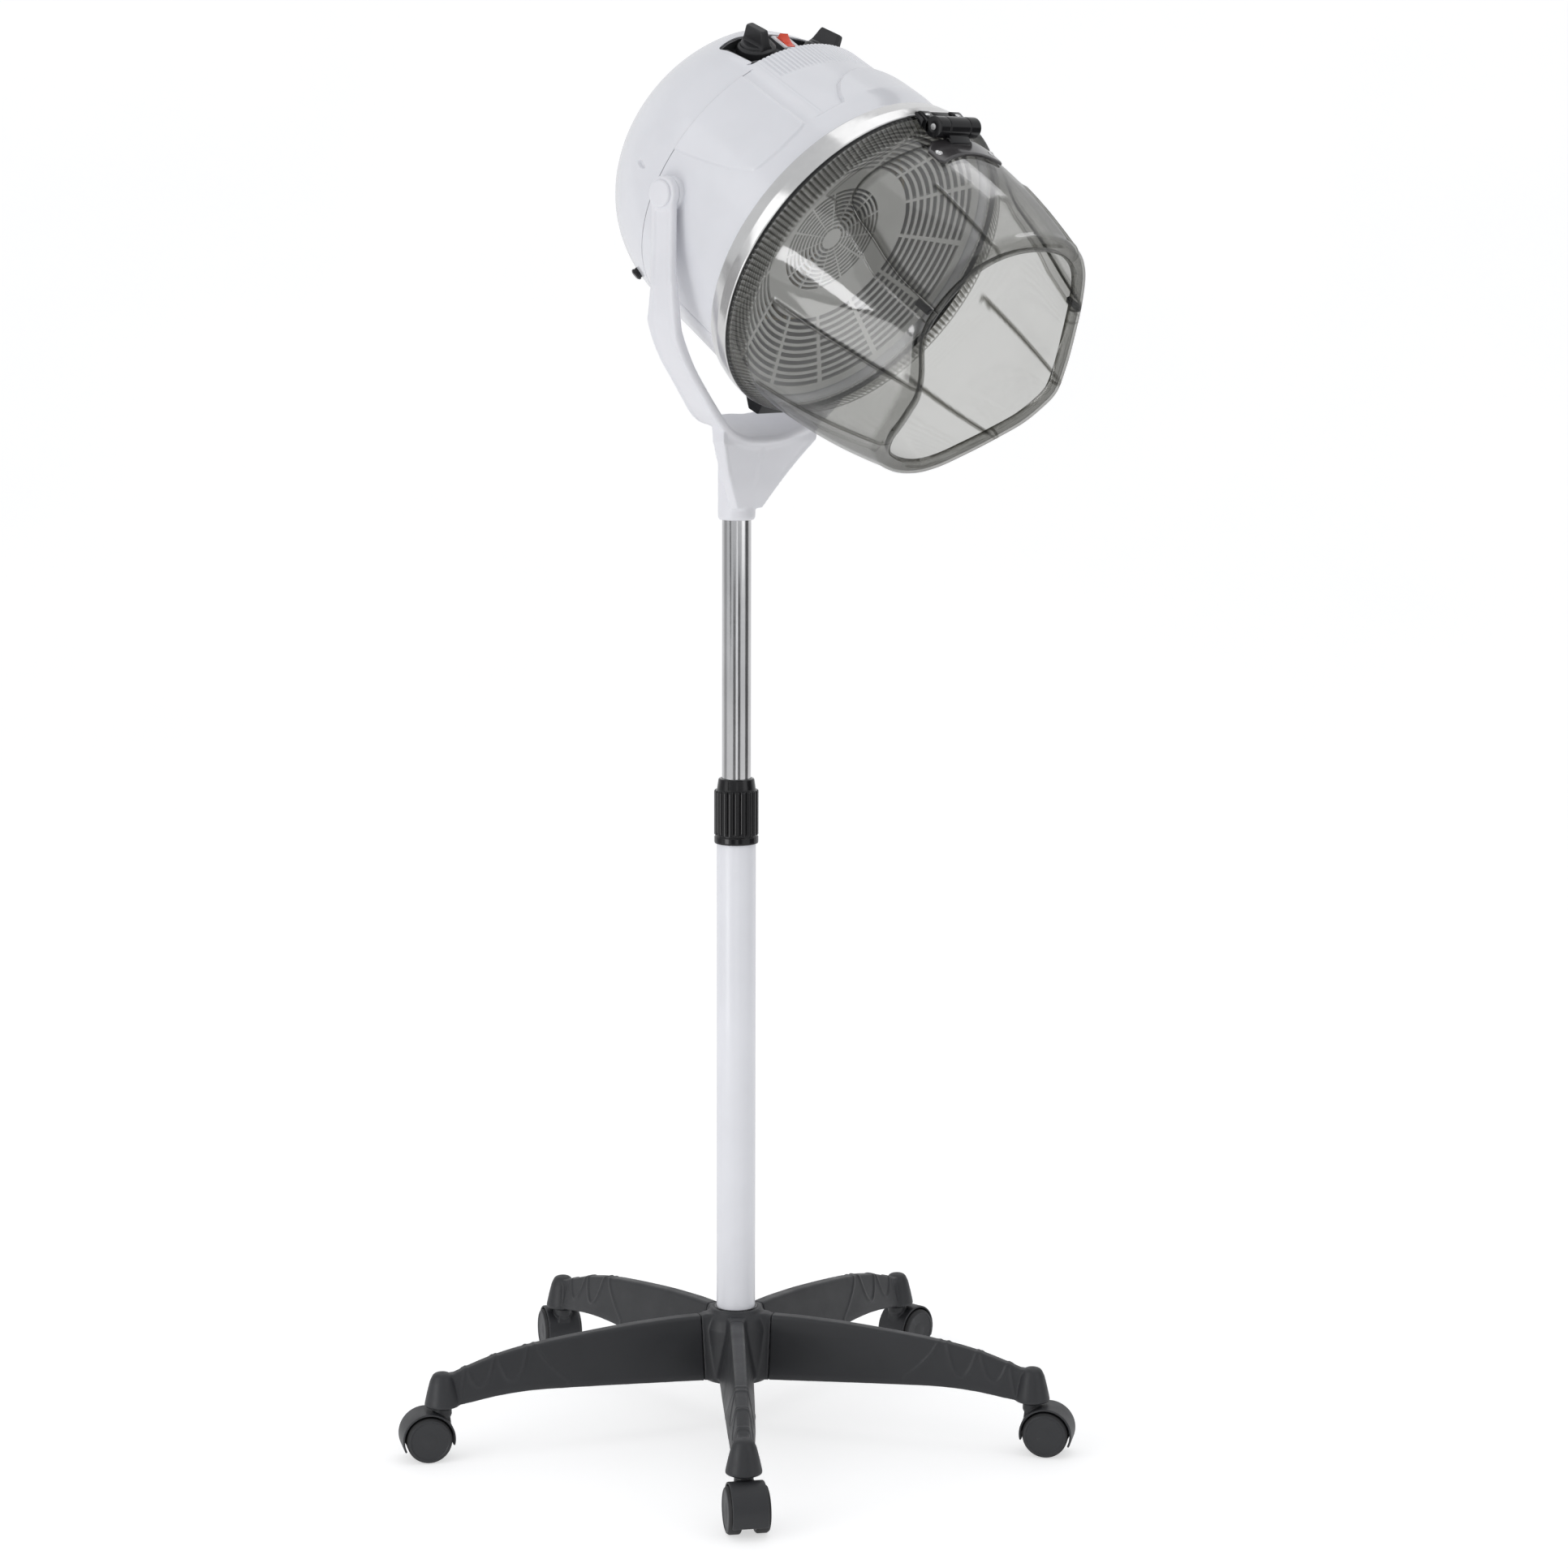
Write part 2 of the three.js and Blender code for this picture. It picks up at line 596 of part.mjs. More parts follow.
function rockerSwitch() {
  return prismAcross([
    ...arcPoints([ROCKER_A, ROCKER_U], 7.6, 180, 360, 10),
    [ROCKER_A + 7.8, 122.3], [ROCKER_A - 1, 123.2],
    [ROCKER_A - 5.2, 127.5], [ROCKER_A - 7.8, 126.6],
  ], -5.8, 5.8);
}

add(hood, 'control_panel', controlPanel(), 'dark_grey');

const knob = knobBody();
add(hood, 'timer_knob', moved(knob, knobSeat(-1)), 'black');
add(hood, 'heat_knob', moved(knob, knobSeat(1)), 'black');

const unitBore = cylZ(3.6, -16, 5, 10);
const timerUnit = box(-17, 17, -16, 16, -26, -5.8).subtract(unitBore);
const heatUnit = cylZ(14, -20, -5.2, 16).subtract(unitBore);
add(hood, 'timer_unit', moved(timerUnit, knobSeat(-1)), 'pale_grey');
add(hood, 'heat_switch_unit', moved(heatUnit, knobSeat(1)), 'pale_grey');

add(hood, 'rocker_switch', rockerSwitch(), 'red');

// ---------------------------------------------------------------- front shell
// Outer profile, [radius, a], moved out by offset.
const frontOuter = (offset) => [
  [147.3, FRONT_START_A], [148, -5], [149.4, 30], [151.3, 64], [153.2, RING_A0 - GAP],
  [153.2, FRONT_END_A],
].map(([radius, a]) => [radius + offset, a]);

// Shell with a raised strap over the top and a boss at each pivot.
function frontShell() {
  const wall = latheA(closed([
    ...frontOuter(0), [150.2, FRONT_END_A], [150.2, RING_A0], [147.6, 50],
    [144.6, FRONT_START_A],
  ]), 40);
  const strap = latheA(closed([
    [149.8, FRONT_START_A], [151, 0], [153, 66], [148, 66], [145.5, FRONT_START_A],
  ]), 40).intersect(topWedge({ half: 37, footU: 0, reach: 220, tipU: 300, aFrom: -30, aTo: 70 }));
  return wall.add(strap)
    .add(cylX(14.5, -153.6, -141, 0, 0, 20))
    .add(cylX(14.5, 141, 153.6, 0, 0, 20))
    .subtract(cylX(5.4, -200, 200, 0, 0, 14));
}

function pivotBolt(side) {
  const profile = [
    [0, 139], [5, 139], [5, 162.3], [12.4, 162.3], [12.4, 163.6], [11, 164.6], [0, 165.2],
  ];
  return solid(latheY(profile, 18).rotateZ((-side * Math.PI) / 2));
}

add(hood, 'front_shell', frontShell(), 'white');
add(hood, 'pivot_bolt_left', pivotBolt(-1), 'white_soft');
add(hood, 'pivot_bolt_right', pivotBolt(1), 'white_soft');

add(hood, 'trim_ring', latheA(closed([
  [153.8, RING_A0], [157.3, RING_A0], [160.6, RING_BULGE_A], [161, RING_A1], [153.8, RING_A1],
]), 48), 'chrome');

// ---------------------------------------------------------------- visor
// Smooth mouth through the RIM stations: [distance from the axis, distance ahead].
function rimAt(degrees) {
  const angle = Math.abs(degrees);
  const last = RIM.length - 1;
  let i = 0;
  while (i < last - 1 && angle > RIM[i + 1][0]) i++;
  const span = RIM[i + 1][0] - RIM[i][0];
  const part = (angle - RIM[i][0]) / span;
  const square = part * part;
  const cube = square * part;
  const slope = (k, column) => {
    if (k === 0 || k === last) return 0;
    return (RIM[k + 1][column] - RIM[k - 1][column]) / (RIM[k + 1][0] - RIM[k - 1][0]);
  };
  return [1, 2].map((column) =>
    (2 * cube - 3 * square + 1) * RIM[i][column] +
    (cube - 2 * square + part) * slope(i, column) * span +
    (3 * square - 2 * cube) * RIM[i + 1][column] +
    (cube - square) * slope(i + 1, column) * span);
}

// A ring that follows the visor's wall. The profile is
// [offset from the outer surface, part of the way to the mouth].
function visorBody(profile) {
  const carrier = 1000; // radius of the plain lathe that carries the offsets
  const geometry = latheY(profile.map(([offset, part]) => [carrier + offset, part]), 48);
  const positions = geometry.getAttribute('position');
  for (let i = 0; i < positions.count; i++) {
    const x = positions.getX(i);
    const part = positions.getY(i);
    const z = positions.getZ(i);
    const offset = Math.hypot(x, z) - carrier;
    const angle = Math.atan2(x, z);
    const [rimRadius, rimA] = rimAt((angle * 180) / Math.PI);
    const bulge = VISOR_BULGE * Math.sin(Math.PI * part);
    const radius = (1 - part) * VISOR_R + part * rimRadius + bulge + offset;
    const a = (1 - part) * (COLLAR_END_A + GAP) + part * rimA;
    positions.setXYZ(i, radius * Math.sin(angle), -a, radius * Math.cos(angle));
  }
  return solid(geometry);
}

add(hood, 'visor_collar', latheA(closed([
  [161, RING_A1 + GAP], [161, 121.5], [VISOR_R, COLLAR_END_A],
  [VISOR_R - VISOR_WALL, COLLAR_END_A], [156.5, 121.5], [154, RING_A1 + GAP],
]), 48), 'smoke');

// Wall with a thickened lip at the mouth.
const visorWall = visorBody(closed([
  [0, 0], [0, 0.3], [0, 0.6], [0, 0.9], [0.8, 0.96], [0, 1], [-6, 1], [-6.6, 0.97],
  [-VISOR_WALL, 0.9], [-VISOR_WALL, 0.6], [-VISOR_WALL, 0.3], [-VISOR_WALL, 0],
]));
const doorWedge = (half, aFrom) =>
  topWedge({ half, footU: 20, reach: 300, tipU: 400, aFrom, aTo: 400 });
const doorway = doorWedge(DOORWAY_HALF, DOORWAY_A);
const doorSpace = doorWedge(DOORWAY_HALF - 0.4, DOORWAY_A + 0.8);
add(hood, 'visor_skirt', visorWall.subtract(doorway), 'smoke');
add(hood, 'visor_door', visorWall.intersect(doorSpace), 'smoke');

// ---------------------------------------------------------------- hinge over the door
const hingeCylinder = (radius, xFrom, xTo, segments) =>
  cylX(radius, xFrom, xTo, -HINGE_A, HINGE_U, segments);
const hingeBore = hingeCylinder(3.4, -60, 60, 12);

function hingeFixedLeaf() {
  const knuckleSpace = hingeCylinder(HINGE_R + 0.6, -KNUCKLE_SPACE, KNUCKLE_SPACE, 18);
  // Side outlines, [a, u]: the plate under the barrels, and the foot behind them.
  const plate = [
    [121.6, 161.5], [121.6, 164.6], [131, 162.5], [136.5, 162.5], [141, 155], [141, 152.2],
    [138.6, 152],
  ];
  const foot = [[121.6, 161.5], [121.6, 164.6], [131, 162.5], [134.4, 161.8], [134.4, 154.3]];
  return prismAcross(plate, -HINGE_HALF, HINGE_HALF)
    .subtract(knuckleSpace)
    .add(hingeCylinder(HINGE_R, -HINGE_HALF, -KNUCKLE_SPACE, 18))
    .add(hingeCylinder(HINGE_R, KNUCKLE_SPACE, HINGE_HALF, 18))
    .add(prismAcross(foot, -HINGE_HALF, HINGE_HALF))
    .subtract(hingeBore)
    .subtract(knuckleSpace);
}

function hingeDoorLeaf() {
  const skin = visorBody(closed([[0.6, 0], [3.5, 0], [3.5, 0.3], [0.6, 0.3]]));
  // Outline seen from above, [x, a].
  const outline = [
    [-30, 152], [-43, 166], [-43, 180], [-30, 183], [0, 178], [30, 183], [43, 180], [43, 166],
    [30, 152],
  ];
  const arm = [[146, 152.6], [146, 160], [152, 160], [158, 154.5], [158, 150.8], [151, 151.5]];
  return skin.intersect(prismU(outline, 90, 200))
    .add(prismAcross(arm, -13.6, 13.6))
    .add(hingeCylinder(HINGE_R, -KNUCKLE_HALF, KNUCKLE_HALF, 18))
    .subtract(hingeBore);
}

add(hood, 'hinge_fixed_leaf', hingeFixedLeaf(), 'black');
add(hood, 'hinge_door_leaf', hingeDoorLeaf(), 'black');
add(hood, 'hinge_pin', hingeCylinder(3, -28.4, 28.4, 12), 'steel');

// ---------------------------------------------------------------- inside the hood
// Air outlet: a dished disc with three rings of slots.
function airGrille() {
  let grille = latheA([
    [0, 74], [58, 75.2], [78, 82], [140, 108], [149.4, 110],
    [149.4, 113.4], [139, 111], [77, 85.2], [57, 78], [0, 76.8],
  ], 32);
  // Rings of slots: inner radius, outer radius, width, count, angle of the first.
  const slotRings = [
    [14, 52, 6, 8, 0],
    [88, 108, 8, 12, 0],
    [113, 134, 8, 12, 15],
  ];
  for (const [inner, outer, width, count, first] of slotRings) {
    const slot = boxA(inner, outer, 60, 140, -width / 2, width / 2);
    for (let k = 0; k < count; k++) {
      grille = grille.subtract(turnedY(slot, first + (360 * k) / count));
    }
  }
  return grille;
}

// Crossed insulating boards inside a hoop, with holes for the element and room for the shaft.
function heaterFrame() {
  const outline = [[28, -96], [28, 96], [64, 96], [66, 60], [66, -60], [64, -96]];
  const board = prismAcross(outline, -1.2, 1.2);
  let frame = board
    .add(turnedY(board, 90))
    .add(latheA(closed([[96, 30], [99, 30], [99, 62], [96, 62]]), 28));
  const hole = cylX(5.6, -20, 20, -COIL_A, COIL_R, 10);
  for (const angle of [0, 90, 180, 270]) frame = frame.subtract(turnedY(hole, angle));
  return frame.subtract(latheA(closed([[0, 10], [9, 10], [9, 31], [0, 31]]).slice(0, 4), 12));
}

// A round bar bent into an open ring.
function heaterElement() {
  const points = [];
  for (let k = 0; k <= 36; k++) {
    const angle = rad(50 + 9.4 * k);
    points.push(new THREE.Vector3(COIL_R * Math.sin(angle), -COIL_A, COIL_R * Math.cos(angle)));
  }
  const section = new THREE.Shape();
  section.absarc(0, 0, 4.2, 0, 2 * Math.PI, false);
  return solid(new THREE.ExtrudeGeometry(section, {
    steps: 32,
    bevelEnabled: false,
    curveSegments: 4,
    extrudePath: new THREE.CatmullRomCurve3(points),
  }));
}

// Motor with its mounting flange at the rear and its shaft at the front.
function fanMotor() {
  return latheA([
    [0, -65.6], [31, -65.6], [31, -62.6], [27, -62.2], [27, -22], [8, -20], [8, -14],
    [3, -14], [3, 22], [0, 22],
  ], 18);
}

function fanBody() {
  const blades = 10;
  let fan = latheA(closed([
    [3.4, -8], [10, -8], [10, -1], [78, -1], [78, 1.4], [10, 1.6], [10, 18], [3.4, 18],
  ]), 24);
  const blade = boxA(34, 76, 1.2, 20, -1.1, 1.1);
  for (let k = 0; k < blades; k++) fan = fan.add(turnedY(blade, (360 / blades) * k));
  return fan;
}

add(hood, 'air_grille', airGrille(), 'pale_grey');
add(hood, 'heater_frame', heaterFrame(), 'mica');
add(hood, 'heater_element', heaterElement(), 'steel');
add(hood, 'fan_motor', fanMotor(), 'steel');
add(hood, 'fan', fanBody(), 'black_matt');

// ---------------------------------------------------------------- handle and cord
// Tilt handle under the ring, hollowed to clear the shell and the ring.
function tiltHandle() {
  const outline = [
    [79, -146], [93.8, -146], [104.6, -158], [104.6, -175.6], [91.2, -177.4], [79, -166],
  ];
  const shellSpace = [[0, 30], ...frontOuter(0.35).slice(2), [0, FRONT_END_A]];
  const ringStart = RING_A0 - 0.5;
  const ringSpace = [
    [0, ringStart], [157.8, ringStart], [161.2, RING_BULGE_A], [161.6, 130], [0, 130],
  ];
  return prismAcross(outline, -26, 26)
    .subtract(latheA(shellSpace, 56))
    .subtract(latheA(ringSpace, 56));
}

function cordStrainRelief() {
  return atCord(latheY([
    [0, 134], [8, 134], [8, 137], [5, 137.4], [5, 147.6], [8.4, 147.8], [7.6, 150.6],
    [5.4, 152], [0, 152],
  ], 12));
}

add(hood, 'tilt_handle', tiltHandle(), 'black');
add(hood, 'cord_strain_relief', cordStrainRelief(), 'black');

export default root;
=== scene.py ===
# A hooded hair dryer on a five-legged rolling stand: column, sliding tube, yoke, and a
# tilting hood with a smoke-clear visor, control panel and grille. +Z is up, the floor is
# Z = 0 and the column is vertical. Shapes are drawn in millimetres about the column's axis
# and are moved to the scene's place, in metres, as they become meshes.
import json
import math
from contextlib import contextmanager

import bpy
import bmesh
import numpy as np
from mathutils import Matrix, Vector
from numpy import interp


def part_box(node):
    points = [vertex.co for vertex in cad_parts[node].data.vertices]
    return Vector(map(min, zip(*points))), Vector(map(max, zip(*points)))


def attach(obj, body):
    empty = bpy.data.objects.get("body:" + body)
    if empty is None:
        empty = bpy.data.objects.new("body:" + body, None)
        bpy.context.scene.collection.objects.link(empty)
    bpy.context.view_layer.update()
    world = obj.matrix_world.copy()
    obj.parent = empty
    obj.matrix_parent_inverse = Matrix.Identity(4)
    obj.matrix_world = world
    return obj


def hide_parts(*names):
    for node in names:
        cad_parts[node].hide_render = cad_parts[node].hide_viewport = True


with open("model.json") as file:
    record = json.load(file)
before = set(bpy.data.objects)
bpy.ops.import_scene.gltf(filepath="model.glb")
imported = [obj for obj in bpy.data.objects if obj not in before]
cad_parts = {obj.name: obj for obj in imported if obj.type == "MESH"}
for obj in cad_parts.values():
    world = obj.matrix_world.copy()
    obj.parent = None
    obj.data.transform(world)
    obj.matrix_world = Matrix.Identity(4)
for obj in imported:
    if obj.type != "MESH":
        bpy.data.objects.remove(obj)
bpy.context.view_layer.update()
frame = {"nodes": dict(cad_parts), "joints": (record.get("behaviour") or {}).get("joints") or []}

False  # the same detail is built either way
MM = 0.001
rad = math.radians
scene = bpy.context.scene
NODES = frame["nodes"]
JOINTS = {joint["name"]: joint for joint in frame["joints"]}
SIDES = ((-1, "near"), (1, "far"))  # sign of x, and the word for it in names

# Place of the column's axis in the scene (mm)
COLUMN = np.array([*JOINTS["yoke_swivel"]["pos_m"][:2], 0.0]) / MM


def joint_at(name):
    return np.array(JOINTS[name]["pos_m"]) / MM - COLUMN


def node_box(node):
    return tuple(np.array(corner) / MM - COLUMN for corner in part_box(node))


# ------------------------------------------------------------------ driving dimensions (mm)
_, HUB_HI = node_box("base_hub")
COL_LO, COL_HI = node_box("outer_column")
TUBE_LO, TUBE_HI = node_box("upper_tube")
YOKE_LO, YOKE_HI = node_box("yoke")
HUB_TOP = HUB_HI[2]
COL_R = (COL_HI[0] - COL_LO[0]) / 2
TUBE_R = (TUBE_HI[0] - TUBE_LO[0]) / 2
ARM_X = YOKE_HI[0]             # outer face of the yoke's arms

# Distances along the hood's axis
SEAM = -22.0                   # rear dome meets front body
RECESS = -31.0                 # front edge of the control recess
RING0, RING1 = 94.3, 119.8     # chrome ring
COLLAR1 = 139.0                # end of the ribbed collar, start of the visor's wall
COLLAR_R = 151.0
STRAP = 37.2                   # half-angle (degrees) of the sunken strap across the top

# ------------------------------------------------------------------ the hood's own frame
# x across, `along` the hood's axis and out of its mouth, `up` square to both
PIVOT = joint_at("hood_tilt")
AXIS_ALONG = np.array(JOINTS["fan_spin"]["axis"], float)
AXIS_ALONG /= np.linalg.norm(AXIS_ALONG)
AXIS_X = np.array([1.0, 0.0, 0.0])
AXIS_UP = np.cross(AXIS_ALONG, AXIS_X)
if AXIS_UP[2] < 0:
    AXIS_UP = -AXIS_UP


def hood_vec(pts, origin=0.0):
    """Hood-frame directions (x, along, up) as directions about the column."""
    pts = np.asarray(pts, float)
    return origin + pts[..., 0:1] * AXIS_X + pts[..., 1:2] * AXIS_ALONG + pts[..., 2:3] * AXIS_UP


def hood_point(pts):
    return hood_vec(pts, PIVOT)


def hood_lathe(pts):
    """Local +Z is the hood's axis."""
    return hood_point(pts[:, [0, 2, 1]])


def hood_side(pts):
    """An outline drawn as (along, up) and extruded across x."""
    return hood_point(pts[:, [2, 0, 1]])


def on_pivot(side):
    """Local +Z runs outward along the tilt axis."""
    return lambda pts: xyz(side * pts[:, 2], PIVOT[1] + pts[:, 0], PIVOT[2] + pts[:, 1])


def in_place(pts):
    return pts


def frame_at(origin, z, x=None):
    """Placement at an origin, with local +Z along z and +X as near x as it can be."""
    z = np.array(z, float)
    z /= np.linalg.norm(z)
    if x is None:
        x = [1.0, 0, 0] if abs(z[2]) > 0.9 else [0, 0, 1.0]
    x = np.array(x, float)
    x = x - z * (x @ z)
    x /= np.linalg.norm(x)
    y = np.cross(z, x)
    return lambda pts: origin + pts[..., 0:1] * x + pts[..., 1:2] * y + pts[..., 2:3] * z


# ------------------------------------------------------------------ numbers and outlines
def xyz(x, y, z):
    return np.stack(np.broadcast_arrays(x, y, z), -1)


def polar(angle, radius, along):
    """Hood-frame points; the angle is in degrees from the top, toward +x."""
    turn = np.radians(angle)
    return xyz(radius * np.sin(turn), along, radius * np.cos(turn))


def fold(angle):
    """Angle from the top, 0 to 180 degrees on either side."""
    return np.abs((np.asarray(angle, float) + 180) % 360 - 180)


def smooth01(value, low, high):
    t = np.clip((np.asarray(value, float) - low) / (high - low), 0, 1)
    return t * t * (3 - 2 * t)


def bell(value, width, power=2):
    return np.exp(-(value / width) ** power)


def lengths(points):
    """Running length along a 2D line."""
    return np.r_[0, np.cumsum(np.hypot(*np.diff(points, axis=0).T))]


def dense(low, high, step, spots):
    """Values from low to high, with their own step inside the given (from, to, step) spans."""
    values = list(np.arange(low, high + step * 0.5, step))
    for start, end, fine in spots:
        values = [v for v in values if v < start or v > end]
        values += list(np.arange(start, end + fine * 0.5, fine))
    values.sort()
    out = [values[0]]
    for value in values[1:]:
        if value - out[-1] > 1e-3:
            out.append(value)
    return np.array(out)


def fillet(corners, steps, radius=0, closed=True):
    """A 2D outline with rounded corners, each (x, y) or (x, y, its own radius)."""
    points = [np.array(c[:2], float) for c in corners]
    count = len(points)
    out = []
    for i, (corner, point) in enumerate(zip(corners, points)):
        size = corner[2] if len(corner) > 2 else radius
        if size <= 0 or (not closed and i in (0, count - 1)):
            out.append(point)
            continue
        back, ahead = points[i - 1] - point, points[(i + 1) % count] - point
        back_len, ahead_len = np.linalg.norm(back), np.linalg.norm(ahead)
        back, ahead = back / back_len, ahead / ahead_len
        angle = math.acos(max(-1, min(1, float(back @ ahead))))
        if angle > math.pi - 0.02:
            out.append(point)
            continue
        reach = min(size / math.tan(angle / 2), back_len * 0.48, ahead_len * 0.48)
        size = reach * math.tan(angle / 2)
        bisector = (back + ahead) / np.linalg.norm(back + ahead)
        centre = point + bisector * size / math.sin(angle / 2)
        start, end = point + back * reach - centre, point + ahead * reach - centre
        first = math.atan2(start[1], start[0])
        sweep = math.atan2(end[1], end[0]) - first
        sweep = (sweep + math.pi) % (2 * math.pi) - math.pi
        for k in range(steps + 1):
            turn = first + sweep * k / steps
            out.append(centre + size * np.array([math.cos(turn), math.sin(turn)]))
    return out


# ------------------------------------------------------------------ materials
class Shader:
    """One material's node tree. Values given to it are numbers, colours or sockets."""

    def __init__(self, name):
        self.material = bpy.data.materials.new(name)
        self.material.use_nodes = True
        self.tree = self.material.node_tree
        self.tree.nodes.clear()
        self.output = self.add("OutputMaterial")

    def feed(self, socket, value):
        if isinstance(value, bpy.types.NodeSocket):
            self.tree.links.new(value, socket)
        elif socket.type == "RGBA":
            socket.default_value = (*value, 1.0)
        else:
            socket.default_value = value

    def add(self, kind, inputs=None, **props):
        node = self.tree.nodes.new("ShaderNode" + kind)
        for key, value in props.items():
            setattr(node, key, value)
        for key, value in (inputs or {}).items():
            self.feed(node.inputs[key], value)
        return node

    def noise(self, scale, detail=2.0, rough=0.5, stretch=(1, 1, 1)):
        place = self.add("TexCoord").outputs["Object"]
        place = self.add("Mapping", {"Scale": stretch, "Vector": place}).outputs["Vector"]
        return self.add("TexNoise", {"Scale": scale, "Detail": detail, "Roughness": rough,
                                     "Vector": place}).outputs["Fac"]

    def remap(self, value, span, to=(0, 1)):
        return self.add("MapRange", {
            "From Min": span[0], "From Max": span[1], "To Min": to[0], "To Max": to[1],
            "Value": value}).outputs["Result"]

    def mix(self, factor, first, second):
        # sockets 6 and 7 are the two colours
        return self.add("Mix", data_type="RGBA",
                        inputs={6: first, 7: second, 0: factor}).outputs[2]

    def math(self, operation, first, second):
        return self.add("Math", {0: first, 1: second}, operation=operation).outputs[0]

    def bump(self, height, strength, distance, normal=None):
        node = self.add("Bump", {"Strength": strength, "Distance": distance, "Height": height})
        if normal is not None:
            self.feed(node.inputs["Normal"], normal)
        return node.outputs["Normal"]

    def finish(self, node):
        self.feed(self.output.inputs["Surface"], node.outputs[0])
        return self.material


def moulded(name, color, rough, dark=None, grain=0.03, grain_scale=2600, coat=0.0,
            wear=0.25, wear_color=None, speck=0.0, sub=0.0, flow=0.02, spec=0.5):
    """Moulded or painted surface: slow colour drift, fine grain, uneven polish, rubbed edges."""
    shader = Shader(name)
    bsdf = shader.add("BsdfPrincipled", {"Specular IOR Level": spec, "Coat Weight": coat,
                                         "Coat Roughness": 0.06})
    color = np.array(color)
    drift = shader.noise(scale=9, detail=4, rough=0.55)
    base = shader.mix(shader.remap(drift, span=(0.35, 0.65)), dark or color * 0.94, color)
    if speck:
        dust = shader.noise(scale=900, rough=0.7)
        dust = shader.remap(dust, span=(0.62, 0.75), to=(0, speck))
        base = shader.mix(dust, base, np.minimum(color * 2.4 + 0.03, 1))
    pointed = shader.add("NewGeometry").outputs["Pointiness"]
    edge = shader.remap(pointed, span=(0.515, 0.60), to=(0, wear))
    breakup = shader.remap(shader.noise(scale=160, detail=3, rough=0.6),
                           span=(0.35, 0.7), to=(0.2, 1.0))
    edge = shader.math("MULTIPLY", edge, breakup)
    base = shader.mix(edge, base, wear_color or np.minimum(color * 1.25 + 0.02, 1))
    shader.feed(bsdf.inputs["Base Color"], base)
    polish = shader.remap(shader.noise(scale=38, detail=4, rough=0.6),
                          span=(0.3, 0.7), to=(rough * 0.86, rough * 1.16))
    # worn edges are a little duller
    polish = shader.math("ADD", polish, shader.math("MULTIPLY", edge, 0.12))
    shader.feed(bsdf.inputs["Roughness"], polish)
    normal = shader.bump(shader.noise(grain_scale, rough=0.6), strength=grain, distance=0.00025)
    normal = shader.bump(shader.noise(scale=26, rough=0.4), strength=flow, distance=0.002,
                         normal=normal)
    shader.feed(bsdf.inputs["Normal"], normal)
    if sub:
        bsdf.inputs["Subsurface Weight"].default_value = sub
        bsdf.inputs["Subsurface Radius"].default_value = (0.004, 0.003, 0.003)
    return shader.finish(bsdf)


def metal(name, color, rough, stretch=(1, 1, 1), brush=0.05, scale=300):
    """Bare metal with faint stains and brushing lines."""
    shader = Shader(name)
    bsdf = shader.add("BsdfPrincipled", {"Metallic": 1.0})
    color = np.array(color)
    stain = shader.noise(scale=14, detail=5, rough=0.6)
    base = shader.mix(shader.remap(stain, span=(0.4, 0.65)), color * 0.9, color)
    shader.feed(bsdf.inputs["Base Color"], base)
    lines = shader.noise(scale, detail=3, rough=0.6, stretch=stretch)
    polish = shader.remap(lines, span=(0.3, 0.7), to=(rough * 0.75, rough * 1.3))
    smear = shader.noise(scale=45, detail=4, rough=0.65)
    polish = shader.math("ADD", polish, shader.remap(smear, span=(0.5, 0.75), to=(0, 0.05)))
    shader.feed(bsdf.inputs["Roughness"], polish)
    shader.feed(bsdf.inputs["Normal"], shader.bump(lines, strength=brush, distance=0.0002))
    return shader.finish(bsdf)


def smoke_plastic(name, through, edge, gloss, haze):
    """Tinted clear wall: darker at a slant and where the `tint_and_shade` attribute is high;
    that attribute holds painted shade along edges, gaps, ribs and grooves, and a darker lip.
    """
    shader = Shader(name)
    facing = shader.add("LayerWeight", {"Blend": 0.5}).outputs["Facing"]
    # thick is the tint_and_shade attribute: painted shade along edges, gaps, ribs and grooves,
    # plus a darker lip
    thick = shader.add("Attribute", attribute_name="tint_and_shade").outputs["Fac"]
    slant = shader.remap(facing, span=(0.55, 1.0), to=(0, 0.55))
    both = shader.math("MULTIPLY", slant, thick)
    dark = shader.math("SUBTRACT", shader.math("ADD", slant, thick), both)
    cloud = shader.remap(shader.noise(scale=12, detail=3), span=(0.35, 0.65), to=(-0.03, 0.03))
    dark = shader.math("ADD", dark, cloud)
    clear = shader.add("BsdfTransparent", {"Color": shader.mix(dark, through, edge)})
    shine = shader.add("BsdfGlossy", {"Color": (0.95, 0.95, 0.95)})
    polish = shader.remap(shader.noise(scale=60, detail=4, rough=0.6),
                          span=(0.3, 0.7), to=(gloss * 0.7, gloss * 1.5))
    shader.feed(shine.inputs["Roughness"], polish)
    normal = shader.bump(shader.noise(scale=34), strength=0.05, distance=0.002)
    normal = shader.bump(shader.noise(scale=700), strength=0.02, distance=0.0003, normal=normal)
    shader.feed(shine.inputs["Normal"], normal)
    # mirror share: 4.2 % face on, rising steeply at a slant
    facing = shader.add("LayerWeight", {"Blend": 0.5, "Normal": normal}).outputs["Facing"]
    mirror = shader.math("MULTIPLY", shader.math("POWER", facing, 4.0), 0.6)
    mirror = shader.math("ADD", mirror, 0.042)
    body = shader.add("BsdfDiffuse", {"Color": (0.30, 0.30, 0.285)})
    dust = shader.remap(shader.noise(scale=1500, rough=0.7), span=(0.55, 0.8),
                        to=(haze, haze * 2.2))
    hazy = shader.add("MixShader", {0: dust, 1: clear.outputs[0], 2: body.outputs[0]})
    return shader.finish(shader.add(
        "MixShader", {0: mirror, 1: hazy.outputs[0], 2: shine.outputs[0]}))


